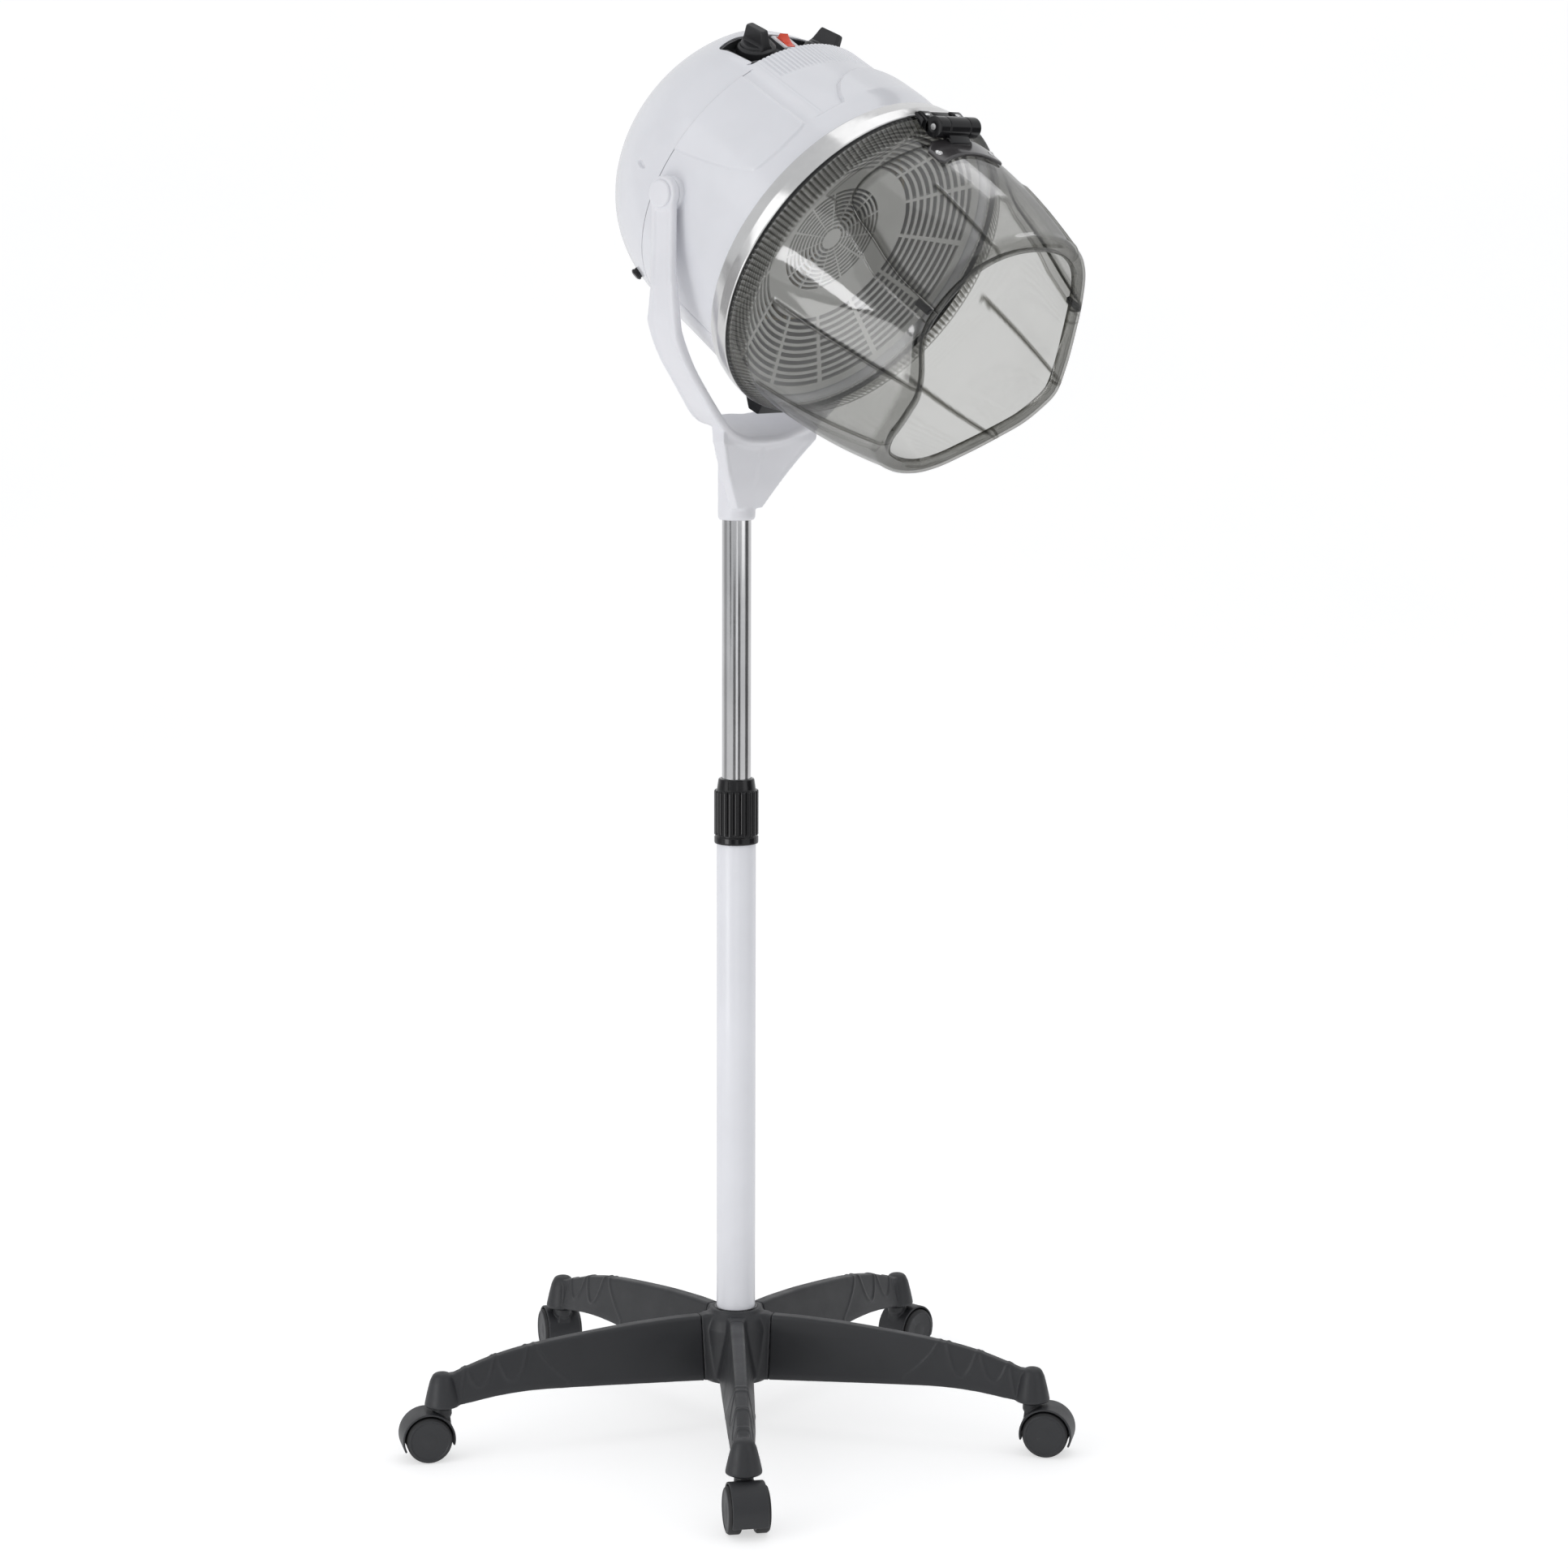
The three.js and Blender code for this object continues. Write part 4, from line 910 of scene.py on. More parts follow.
def build_yoke():
    parts = [yoke_blade()]
    for side, _ in SIDES:
        parts.append(turn(f"y_pad{side}", [
            (0, ARM_X - 8.6), (15.4, ARM_X - 8.6, 1), (16.2, ARM_X - 7.6, 1),
            (16.2, ARM_X - 1.6, 1.2), (15.0, ARM_X - 0.15, 1.2), (0, ARM_X - 0.15)],
            4, 72, "yoke", on_pivot(side)))
    parts.append(yoke_gusset())
    low = YOKE_LO[2] + 0.1
    parts.append(turn("y_socket", [
        (0, low), (17.7, low, 4.6), (18, 905, 4), (18, 974, 2), (0, 974)], 6, 90, "yoke"))
    parts.append(prism("y_rib", [
        (-14, 936), (15, 936), (19.5, 966), (19.5, 984), (-14, 972)], -7, 7, "yoke",
        lambda pts: pts[:, [2, 0, 1]], bevel=2.5, segments=4))
    give(union("yoke_body", parts, "yoke", voxel=1.15, passes=4), "yoke", "yoke")
    # shallow domed disc at each pivot
    for (side, word), node in zip(SIDES, ("pivot_bolt_left", "pivot_bolt_right")):
        cap = turn(f"pivot_cap_{word}", [
            (0, ARM_X - 3.0), (12.3, ARM_X - 3.0, 0.4), (12.3, ARM_X + 1.6, 0.8),
            (11.2, ARM_X + 2.7, 1.5), (6, ARM_X + 3.0, 6), (0, ARM_X + 3.15)],
            4, 72, "yoke", on_pivot(side))
        give(cap, "hood", node)


# ------------------------------------------------------------------ hood shells
def faces_out(face):
    """Whether a face points away from the hood's axis."""
    out = Vector(face.calc_center_median()) - Vector((PIVOT + COLUMN) * MM)
    out -= Vector(AXIS_ALONG) * out.dot(Vector(AXIS_ALONG))
    return face.normal.dot(out) >= 0


def round_wall(name, pts, look, thick, tint_and_shade=None):
    """Wall that closes on itself round the hood's axis, from hood-frame points [i, j]."""
    part = make_mesh(name, hood_point(pts), grid(*pts.shape[:2], True, False), look, tint_and_shade)
    with editing(part) as mesh:
        mesh.faces.ensure_lookup_table()
        if not faces_out(mesh.faces[len(mesh.faces) // 2]):
            bmesh.ops.reverse_faces(mesh, faces=mesh.faces)
    apply(part, "SOLIDIFY", thickness=thick * MM, offset=-1.0, use_even_offset=True)
    return part


def patched_wall(name, patches, look, thick, tint_and_shade=None):
    """Wall from hood-frame patches of points that are welded where they meet."""
    faces, base = [], 0
    for pts, wrap in patches:
        faces += grid(*pts.shape[:2], wrap, False, base)
        base += pts.shape[0] * pts.shape[1]
    verts = np.vstack([pts.reshape(-1, 3) for pts, _ in patches])
    part = make_mesh(name, hood_point(verts), faces, look, tint_and_shade)
    with editing(part) as mesh:
        bmesh.ops.remove_doubles(mesh, verts=mesh.verts, dist=0.02 * MM)
        bmesh.ops.recalc_face_normals(mesh, faces=mesh.faces)
        sample = list(mesh.faces)[::max(1, len(mesh.faces) // 400)]
        if sum(1 if faces_out(face) else -1 for face in sample) < 0:
            bmesh.ops.reverse_faces(mesh, faces=mesh.faces)
    apply(part, "SOLIDIFY", thickness=thick * MM, offset=-1.0)
    tidy(part, 50, outward=False)
    return part


def build_rear():
    """Superelliptic dome, flattened on top, with the control recess cut in it."""
    widest, depth, power, centre = 147.55, 132.1, 2.35, -10.49
    t = np.linspace(0, math.pi / 2, 4000)
    radius = widest * np.sin(t) ** (2 / power)
    along = centre - depth * np.cos(t) ** (2 / power)
    keep = along <= SEAM - 0.2
    radius, along = radius[keep], along[keep]
    run = lengths(np.c_[radius, along])
    end = run[-1]
    spots = dense(1.2, end, 2.4, [(end - 75, end - 2, 1.3)])
    spots = np.r_[spots[spots < end - 0.6], end - 0.5, end]
    radius, along = interp(spots, run, radius), interp(spots, run, along)
    radius[-1] -= 0.45
    angle = dense(-180, 179.2, 0.9, [(-97, -83, 0.35), (83, 97, 0.35), (-60, 60, 0.7)])
    angle = angle[angle < 179.5][:, None]
    # an oval dent on each side
    dent = 0
    for middle in (-90, 90):
        across = (angle - middle) * radius * math.pi / 180
        dent -= 3.0 * (1 - smooth01(np.hypot(across / 3.0, (along + 50.5) / 7.2), 0.55, 1.02))
    pts = polar(angle, radius + dent, along)
    # flattened crown, blended over `soft` mm and fading out toward the seam
    x, along, up = pts[..., 0], pts[..., 1], pts[..., 2]
    flat = 119.5 + 0.2 * (along + 86) - x * x / 672.0
    fade = smooth01(along, -31.5, -24)
    over = up - flat
    soft = 2.2
    low = np.where(over > soft, flat,
                   np.where(over < -soft, up, up - (over + soft) ** 2 / (4 * soft)))
    pts[..., 2] = np.where(up > 60, low * (1 - fade) + up * fade, up)
    dome = round_wall("rear_dome", pts, "shell", 2.7)
    # the hole at the pole is closed before the wall is cut
    with editing(dome) as mesh:
        rims = [edge for edge in mesh.edges if len(edge.link_faces) == 1]
        bmesh.ops.holes_fill(mesh, edges=rims, sides=2000)
    tidy(dome, 40)
    gap = 0.15
    side, back, front, wide = 82 - gap, -75 + gap, RECESS - gap, 87.4
    plan = fillet([
        (-side, front, 0.6), (-side, back, 8), (-50, -86 + gap, 60), (0, -90 + gap, 120),
        (50, -86 + gap, 60), (side, back, 8), (side, front, 0.6), (wide, front, 0.6),
        (wide, -20), (-wide, -20), (-wide, front, 0.6)], 6)
    cut(dome, prism("cutter", plan, 60, 190, "shell", hood_point))
    round_edges(dome, 0.5, 2, 50)
    tidy(dome, 42, outward=False)
    give(dome, "hood", "rear_shell")


# Raised side field: (angle in degrees, along, corner radius)
SIDE_FIELD = [(76, -34), (75, -15), (72.4, 15, 30), (69.2, 44, 20), (64.5, 68.5, 6),
              (54, 72.5, 8), (45, 70.0, 6), (41.0, 67, 4), (40.6, -34)]


def inside_by(x, y, outline):
    """Distance inside a closed outline, negative outside it."""
    outline = np.array(outline, float)
    best = np.full(x.shape, 1e9)
    inside = np.zeros(x.shape, bool)
    for (x0, y0), (x1, y1) in zip(outline, np.roll(outline, -1, 0)):
        run, rise = x1 - x0, y1 - y0
        t = np.clip(((x - x0) * run + (y - y0) * rise) / ((run * run + rise * rise) or 1), 0, 1)
        best = np.minimum(best, np.hypot(x - x0 - t * run, y - y0 - t * rise))
        crossing = x0 + (y - y0) * run / (rise if rise else 1e-9)
        inside ^= ((y0 > y) != (y1 > y)) & (x < crossing)
    return np.where(inside, best, -best)


def front_radius(angle, along):
    """Outer radius of the front body."""
    radius = interp(along, [-31, SEAM, -5, 30, 64, RING0, RING1],
                    [146.9, 147.25, 148, 149.4, 151.3, 153.0, 153.0])
    arc = angle * radius * math.pi / 180
    x, turned = np.abs(arc), np.abs(angle)
    # soft dome ahead of the strap
    dome = 3.3 * (1 - smooth01(turned, 13, 34))
    dome = dome * smooth01(along, -10, 30) * (1 - smooth01(along, 62, 92))
    # the strap is let into the top, its front edge scooped to an arch
    front = interp(x, [0, 12, 24, 36, 46, 54, 58.5, 60.5, 62.5, 90],
                   [24.3, 25.2, 28.2, 33.5, 40.5, 50, 57, 63, 66.3, 66.3])
    soft = interp(x, [0, 40, 60, 66], [3.6, 4.2, 3.0, 3.2])
    inside = 1 - smooth01(along - front, -soft * 0.35, soft * 0.65)
    inside = inside * (1 - smooth01(turned, 33.2, 37.8))
    deep = interp(along, [-31, 0, 30, 66], [3.2, 3.2, 2.9, 2.3])
    height = dome * (1 - inside) - deep * inside
    # faint line where the strap's floor meets its shoulder
    height -= 0.22 * bell(turned - 32.2, 0.35) * (1 - smooth01(along, 62, 66))
    # fine grooves across the strap's rear edge
    groove = 0.5 + 0.5 * np.cos((angle + 30.0) / 1.94 * 2 * math.pi)
    skew = 0.10 * (angle + 30)
    grooved = (1 - smooth01(turned, 30.4, 31.2)) * (1 - smooth01(along, -3.0 + skew, 2.5 + skew))
    height -= 0.85 * smooth01(groove, 0.45, 0.98) * grooved
    # side fields with a soft outline, and one groove below each
    for side in (-1, 1):
        outline = [(side * q * 150 * math.pi / 180, w) for q, w in fillet(SIDE_FIELD, 5)]
        height += 1.55 * smooth01(inside_by(arc, along, outline), -0.8, 0.8)
        line = np.abs(arc - side * 129 * radius * math.pi / 180)
        height -= 0.8 * bell(line, 0.9) * smooth01(along, 22, 26)
    return radius + height


def build_front():
    start = SEAM + 0.15
    along = dense(start, RING1 - 0.4, 2.2, [(start, 6, 1.1), (20, 76, 1.0)])
    along = np.r_[start, SEAM + 0.6, along[along > SEAM + 1.0]]
    angle = dense(-180, 179.3, 0.8, [
        (-80, -STRAP, 0.4), (STRAP, 80, 0.4), (-STRAP, STRAP, 0.2), (-130.5, -127.5, 0.3),
        (127.5, 130.5, 0.3)])
    angle = angle[angle < 179.6]
    turned, out = np.meshgrid(angle, along, indexing="ij")
    radius = front_radius(turned, out)
    radius = np.where((out < SEAM + 0.3) & (np.abs(turned) > STRAP), radius - 0.5, radius)
    body = polar(turned, radius, out)
    # the strap runs back past the seam to the edge of the control recess
    rows = np.r_[RECESS, RECESS + 0.4, np.arange(RECESS + 1, SEAM, 1.1), start]
    turned, out = np.meshgrid(angle[np.abs(angle) <= STRAP], rows, indexing="ij")
    radius = front_radius(turned, out)
    radius[:, 0] -= 0.55
    radius[:, 1] -= 0.12
    strap = polar(turned, radius, out)
    give(patched_wall("front_body", [(body, True), (strap, False)], "shell", 2.6),
         "hood", "front_shell")
    for side, word in SIDES:
        boss = turn(f"pivot_boss_{word}", [
            (0, 143), (17.5, 143, 1), (16.2, 150.5, 3), (15.4, 153.2, 1), (0, 153.2)],
            4, 64, "shell", on_pivot(side))
        give(boss, "hood")
    ring = turn("chrome_ring", [
        (153.3, RING0 + 0.1, 0.3), (156.7, RING0 + 0.1, 0.7), (157.6, RING0 + 1.4, 1.2),
        (160.4, 108, 12), (160.9, RING1 - 0.9, 0.6), (160.2, RING1 - 0.05, 0.5),
        (153.3, RING1 - 0.05, 0.3)], 5, 360, "chrome", hood_lathe, closed=True, sharp=50)
    give(ring, "hood", "trim_ring")
    gasket = turn("ring_gasket", [
        (156.2, RING1 + 0.1), (160.4, RING1 + 0.1), (160.5, RING1 + 1.5),
        (156.2, RING1 + 1.5)], 3, 240, "black", hood_lathe, closed=True, radius=0.3)
    give(gasket, "hood")


# ------------------------------------------------------------------ visor
# Rim of the visor: (degrees from the top, radius, along)
RIM = [(0, 133, 292), (32, 132.5, 290), (54, 123.5, 289), (70, 117, 292), (87, 106, 304),
       (100, 104, 309), (112, 105.2, 305), (123, 108.5, 299), (136, 114, 289),
       (152, 121, 279.5), (166, 124.4, 277), (180, 125.4, 277)]
# Rolled rim, (offset from the wall, distance ahead): out, round the front, back inside
LIP = [(0.0, -15.0), (0.5, -12.0), (1.3, -9.5)]
LIP += [(-5.2 + 6.6 * math.cos(q), -6.2 + 6.2 * math.sin(q))
        for q in (math.pi * (0.02 + 0.98 * k / 9) for k in range(10))]
LIP += [(-11.9, -8.6)]
ARC = math.pi / 180 * 128      # mm along the wall per degree, roughly
DOOR_TOP = 153.6               # door's edge nearest the collar
DOOR_CORNER = 166.0            # where the door's rounded corners end
DOOR_GAP = 0.45
DOOR_GAP_ANGLE = DOOR_GAP / 128 * 57.3


def rim_at(angle):
    """Rim radius and place along the axis, on a smooth curve through RIM."""
    turned = fold(angle)
    before = [(-q, r, a) for q, r, a in RIM[1:3]][::-1]
    after = [(360 - q, r, a) for q, r, a in RIM[-3:-1]][::-1]
    keys = np.array(before + RIM + after, float)
    i = np.clip(np.searchsorted(keys[:, 0], turned, side="right") - 1, 1, len(keys) - 3)
    at = keys[:, 0]
    span = at[i + 1] - at[i]
    t = (turned - at[i]) / span
    out = []
    for values in (keys[:, 1], keys[:, 2]):
        slope0 = (values[i + 1] - values[i - 1]) / (at[i + 1] - at[i - 1]) * span
        slope1 = (values[i + 2] - values[i]) / (at[i + 2] - at[i]) * span
        out.append((2 * t ** 3 - 3 * t ** 2 + 1) * values[i] + (t ** 3 - 2 * t ** 2 + t) * slope0
                   + (-2 * t ** 3 + 3 * t ** 2) * values[i + 1] + (t ** 3 - t ** 2) * slope1)
    return out


def visor_radius(angle, along):
    rim_r, rim_along = rim_at(angle)
    share = np.clip((along - COLLAR1) / (rim_along - COLLAR1), 0, 1.0)
    return (1 - share) * COLLAR_R + share * rim_r + 5 * np.sin(np.pi * share)


def visor_point(angle, along, off=0.0):
    """Point of the visor's wall, `off` mm proud of it."""
    return polar(angle, visor_radius(angle, along) + off, along)


def door_edge(along):
    """Half-angle of the door, in degrees."""
    return interp(along, [150, 160, 166, 180, 207, 224, 246, 262, 320],
                  [46.5, 50.0, 51.3, 53.2, 55.3, 57.2, 58.8, 59.2, 59.4])


def door_top(share):
    """Top edge of the door, straight with rounded corners; share is -1 to 1 across."""
    corner = np.clip((np.abs(share) - 0.80) / 0.20, 0, 1)
    return DOOR_TOP + (DOOR_CORNER - DOOR_TOP) * (1 - np.sqrt(np.clip(1 - corner ** 2, 0, 1)))


def rib_relief(angle, along, places, width, shoulder):
    """Height and painted shade (tint_and_shade) of raised ribs given as (angle, start, full
    height from).
    """
    height = np.zeros(np.broadcast(angle, along).shape)
    tint_and_shade = height.copy()
    for middle, start, full in places:
        across = fold(angle - middle) * ARC
        on = smooth01(along, start, full)
        rib = bell(across, width, 4) * on
        height += 1.6 * rib
        # painted shade: a dark band over each rib and a dark line at its shoulder
        tint_and_shade = np.maximum(tint_and_shade, 0.78 * rib + 0.25 * bell(across - shoulder, 0.7) * on)
    return height, tint_and_shade


def rim_tint(angle, along):
    return 0.22 * smooth01(along - rim_at(angle)[1], -17, -12)


def skirt_relief(angle, along):
    """Ribs, and the raised flange that frames the door's opening: (height, tint_and_shade), with
    painted shade on the flange band, along its edge and where the wall meets the collar.
    """
    height, tint_and_shade = rib_relief(angle, along, [
        (95, 152, 157), (-95, 152, 157), (136, 143, 148), (-136, 143, 148)], 1.9, 1.8)
    flange = door_edge(along) + interp(along, [141, 146, 154, 176, 202, 224, 249, 279],
                                       [8.5, 8.0, 7.2, 6.4, 6.6, 7.6, 6.8, 6.6])
    past = (fold(angle) - flange) * ARC
    side = 1 - smooth01(past, -1.3, 0.5)
    top = smooth01(along, 141.0, 142.4)
    # painted shade: a darker flange band, a dark line along its outer edge, one where the wall
    # meets the collar, and the wall darkening toward the rim
    for dark in (0.26 * side * top, 0.85 * bell(past + 0.4, 0.9) * top,
                 0.8 * bell(along - 141.6, 0.8) * side, rim_tint(angle, along)):
        tint_and_shade = np.maximum(tint_and_shade, dark)
    return height + 0.85 * side * top, tint_and_shade


def rolled_lip(angle, height, tint_and_shade):
    """Points and tint_and_shade of the rolled rim: a darker lip with a painted shade line at its
    inner edge; height and tint_and_shade are the wall's where it starts.
    """
    rim_r, rim_along = rim_at(angle)
    wall = visor_radius(angle, rim_along + LIP[0][1])
    k = np.arange(1, len(LIP))
    offset, ahead = np.array(LIP[1:]).T
    share = np.minimum(1.0, k / 4)
    radius = (1 - share) * wall + share * rim_r + offset + height * np.maximum(0.0, 1 - k / 6)
    # a darker lip, a painted shade line at its inner edge, and the wall's painted lines carried
    # on
    dark = 0.24 + 0.7 * bell(k - (len(LIP) - 1), 0.8) + 0.6 * tint_and_shade * (tint_and_shade > 0.6)
    return polar(angle, radius, rim_along + ahead), np.minimum(1.1, dark)


def build_collar():
    """Ribbed clear collar between the chrome ring and the visor's wall."""
    ribs = 178
    angle = (np.arange(ribs * 8) * 360.0 / (ribs * 8))[:, None]
    along = np.array([121.55, 121.9, 122.6, 124, 128, 132, 136, 137.6, 138.3, COLLAR1])
    wave = np.cos(angle * ribs * math.pi / 180)
    on = smooth01(along, 121.9, 123.5) * (1 - smooth01(along, 136.8, 138.2))
    radius = interp(along, [121.5, COLLAR1], [160.6, COLLAR_R - 0.1]) + 0.7 * wave * on - 0.35
    # painted shade: dark in the grooves between the ribs, and a dark band where the collar meets
    # the ring
    tint_and_shade = np.clip(0.02 + 0.8 * smooth01(-wave, 0.1, 0.95) * on
                   + 0.9 * (1 - smooth01(along, 121.6, 122.4)), 0, 1)
    collar = round_wall("ribbed_collar", polar(angle, radius, along), "smoke", 2.4, tint_and_shade)
    tidy(collar, 60)
    give(collar, "hood", "visor_collar")


FALL = np.linspace(0, 1, 46)   # rows of the wall, from its top to the rolled rim
DOOR_END = float(door_edge(280.0))


def build_skirt():
    """Fixed wall: a strip above the door, then everything outside the opening."""
    start = COLLAR1 + 0.15
    rows = np.linspace(0, 1, 30)
    # strip between the collar and the door's top edge
    share = np.linspace(-1, 1, 121)[:, None]
    end = door_top(share) - DOOR_GAP
    along = start + (end - start) * rows
    angle = share * door_edge(along) + np.sign(share) * DOOR_GAP_ANGLE * (np.abs(share) > 0.999)
    height, tint_and_shade = skirt_relief(angle, along)
    strip = visor_point(angle, along, height)
    # painted shade: a dark line along the strip's edge at the door's gap
    strip_tint_and_shade = np.maximum(tint_and_shade, 0.9 * bell(along - end, 0.8))

    # round the rest, 0 to 1 from one side of the opening to the other
    near = 9.0 / 240
    share = np.r_[
        np.linspace(0, 1, 25)[:-1] * near,
        dense(9.0, 231.0, 2.1, [(24.5, 41, 0.55), (71, 85, 0.55), (155, 169, 0.55),
                                (199, 215.5, 0.55)]) / 240,
        1 - np.linspace(1, 0, 25)[1:] * near]
    share = np.unique(np.round(share, 6))[:, None]

    def swept(edge):
        edge = edge + DOOR_GAP_ANGLE
        return edge + (360 - 2 * edge) * share

    # rows beside the strip match its edge
    end = DOOR_CORNER - DOOR_GAP
    along = start + (end - start) * rows
    angle = swept(door_edge(along))
    height, upper_tint_and_shade = skirt_relief(angle, along)
    upper = visor_point(angle, along, height)
    rim_angle = swept(DOOR_END)
    along = end + (rim_at(rim_angle)[1] + LIP[0][1] - end) * FALL[1:]
    angle = swept(door_edge(along))
    height, tint_and_shade = skirt_relief(angle, along)
    # painted shade: a dark line along each side of the opening
    edge_line = bell(np.minimum(share, 1 - share) * 240 * 2.2, 1.0)
    lip, lip_tint_and_shade = rolled_lip(rim_angle, height[:, -1:], tint_and_shade[:, -1:])
    rest = np.concatenate([upper, visor_point(angle, along, height), lip], 1)
    rest_tint_and_shade = np.concatenate([upper_tint_and_shade, np.maximum(tint_and_shade, 0.9 * edge_line), lip_tint_and_shade], 1)
    wall = patched_wall("visor_wall", [(strip, False), (rest, False)], "smoke", 2.5,
                        np.concatenate([strip_tint_and_shade.ravel(), rest_tint_and_shade.ravel()]))
    give(wall, "hood", "visor_skirt")


def build_door():
    share = dense(-1, 1, 0.022, [(-0.50, -0.38, 0.009), (0.38, 0.50, 0.009)])[:, None]
    top = door_top(share)
    rim_angle = share * DOOR_END
    along = top + (rim_at(rim_angle)[1] + LIP[0][1] - top) * FALL
    angle = share * door_edge(along)
    height, tint_and_shade = rib_relief(angle, along, [(-25, 196, 202), (25, 196, 202)], 1.7, 1.6)
    from_side = (1 - np.abs(share)) * door_edge(along) * math.pi / 180 * 130
    from_top = along - top
    from_edge = np.minimum(from_side, from_top)
    # a stepped border inside the door's edge
    height = height + 0.7 * (1 - smooth01(from_edge, 6.0, 8.0))
    # painted shade: dark lines along the door's sides and top at its gap, a dark line at the
    # border's step, and a darker border band
    for dark in (rim_tint(angle, along), 0.85 * bell(from_side, 1.1),
                 0.85 * bell(from_top, 1.0), 0.6 * bell(from_edge - 7.0, 0.9),
                 0.40 * (1 - smooth01(from_side, 6.2, 7.4)),
                 0.18 * (1 - smooth01(from_top, 6.2, 7.4))):
        tint_and_shade = np.maximum(tint_and_shade, dark)
    lip, lip_tint_and_shade = rolled_lip(rim_angle, height[:, -1:], tint_and_shade[:, -1:])
    pts = np.concatenate([visor_point(angle, along, height), lip], 1)
    flap = patched_wall("visor_flap", [(pts, False)], "smoke", 2.4,
                        np.concatenate([tint_and_shade, lip_tint_and_shade], 1))
    give(flap, "visor_door", "visor_door")


# ------------------------------------------------------------------ hinge
def knuckle(name, low, high):
    bore, radius = 3.4, 9.7
    axis_along, axis_up = 145.0, 161.5
    return turn(name, [
        (bore, low, 0.2), (radius - 0.2, low, 0.5), (radius, low + 0.9, 0.3),
        (radius, high - 0.9, 0.3), (radius - 0.2, high, 0.5), (bore, high, 0.2)],
        3, 72, "black", closed=True, place=lambda pts: hood_point(
            xyz(pts[:, 2], axis_along + pts[:, 0], axis_up + pts[:, 1])))


def hinge_leaf():
    """Door leaf: a plate that follows the door, with its ends swept toward the mouth."""
    rows, cols, half = 61, 25, 42.5
    x = (-half + 2 * half * np.arange(rows) / (rows - 1))[:, None]
    share = np.abs(x) / half
    low = 151.3 + 11.5 * np.maximum(0.0, (share - 0.62) / 0.38) ** 1.6
    high = 176.0 + 8.0 * share ** 2.2 - 6.6 * np.maximum(0.0, (share - 0.9) / 0.1) ** 2
    along = low + (high - low) * np.arange(cols) / (cols - 1)
    # the angle that puts each wall point at its x
    angle = np.degrees(np.arctan2(x, 150))
    for _ in range(3):
        angle = np.degrees(np.arctan2(x, visor_point(angle, along)[..., 2]))
    pts = visor_point(angle, along)
    out = xyz(pts[..., 0], 0, pts[..., 2])
    out = out / np.hypot(pts[..., 0], pts[..., 2])[..., None]
    edge = np.minimum(half - np.abs(x), np.minimum(along - low, high - along))
    rounded = 0.9 * (1 - smooth01(edge, 0, 1.6))
    return tidy(slab("hinge_leaf_door", hood_point(pts + out * (3.5 - rounded)[..., None]),
                     hood_point(pts + out * 0.75), "leaf"), 42)


def cross_screw(name, position, normal, body, radius):
    """Dome-head screw with a crossed slot."""
    place = frame_at(hood_point(position), hood_vec(normal))
    profile = [(0, -0.5), (radius, -0.5), (radius, 0.2)]
    profile += [(radius * math.cos(q), 0.2 + 1.5 * math.sin(q))
                for q in np.linspace(0.12, 1.45, 8)]
    profile += [(0, 1.7)]
    part = lathe(name, profile, 40, "screw", place, closed=False)
    slot = [(-2.1, -0.36), (2.1, -0.36), (2.1, 0.36), (-2.1, 0.36)]
    for angle in (0.4, 0.4 + math.pi / 2):
        cos, sin = math.cos(angle), math.sin(angle)
        outline = [(x * cos - y * sin, x * sin + y * cos) for x, y in slot]
        cut(part, prism("slot_cutter", outline, 0.7, 3, "screw", place))
    tidy(part, 30, outward=False)
    give(part, body)


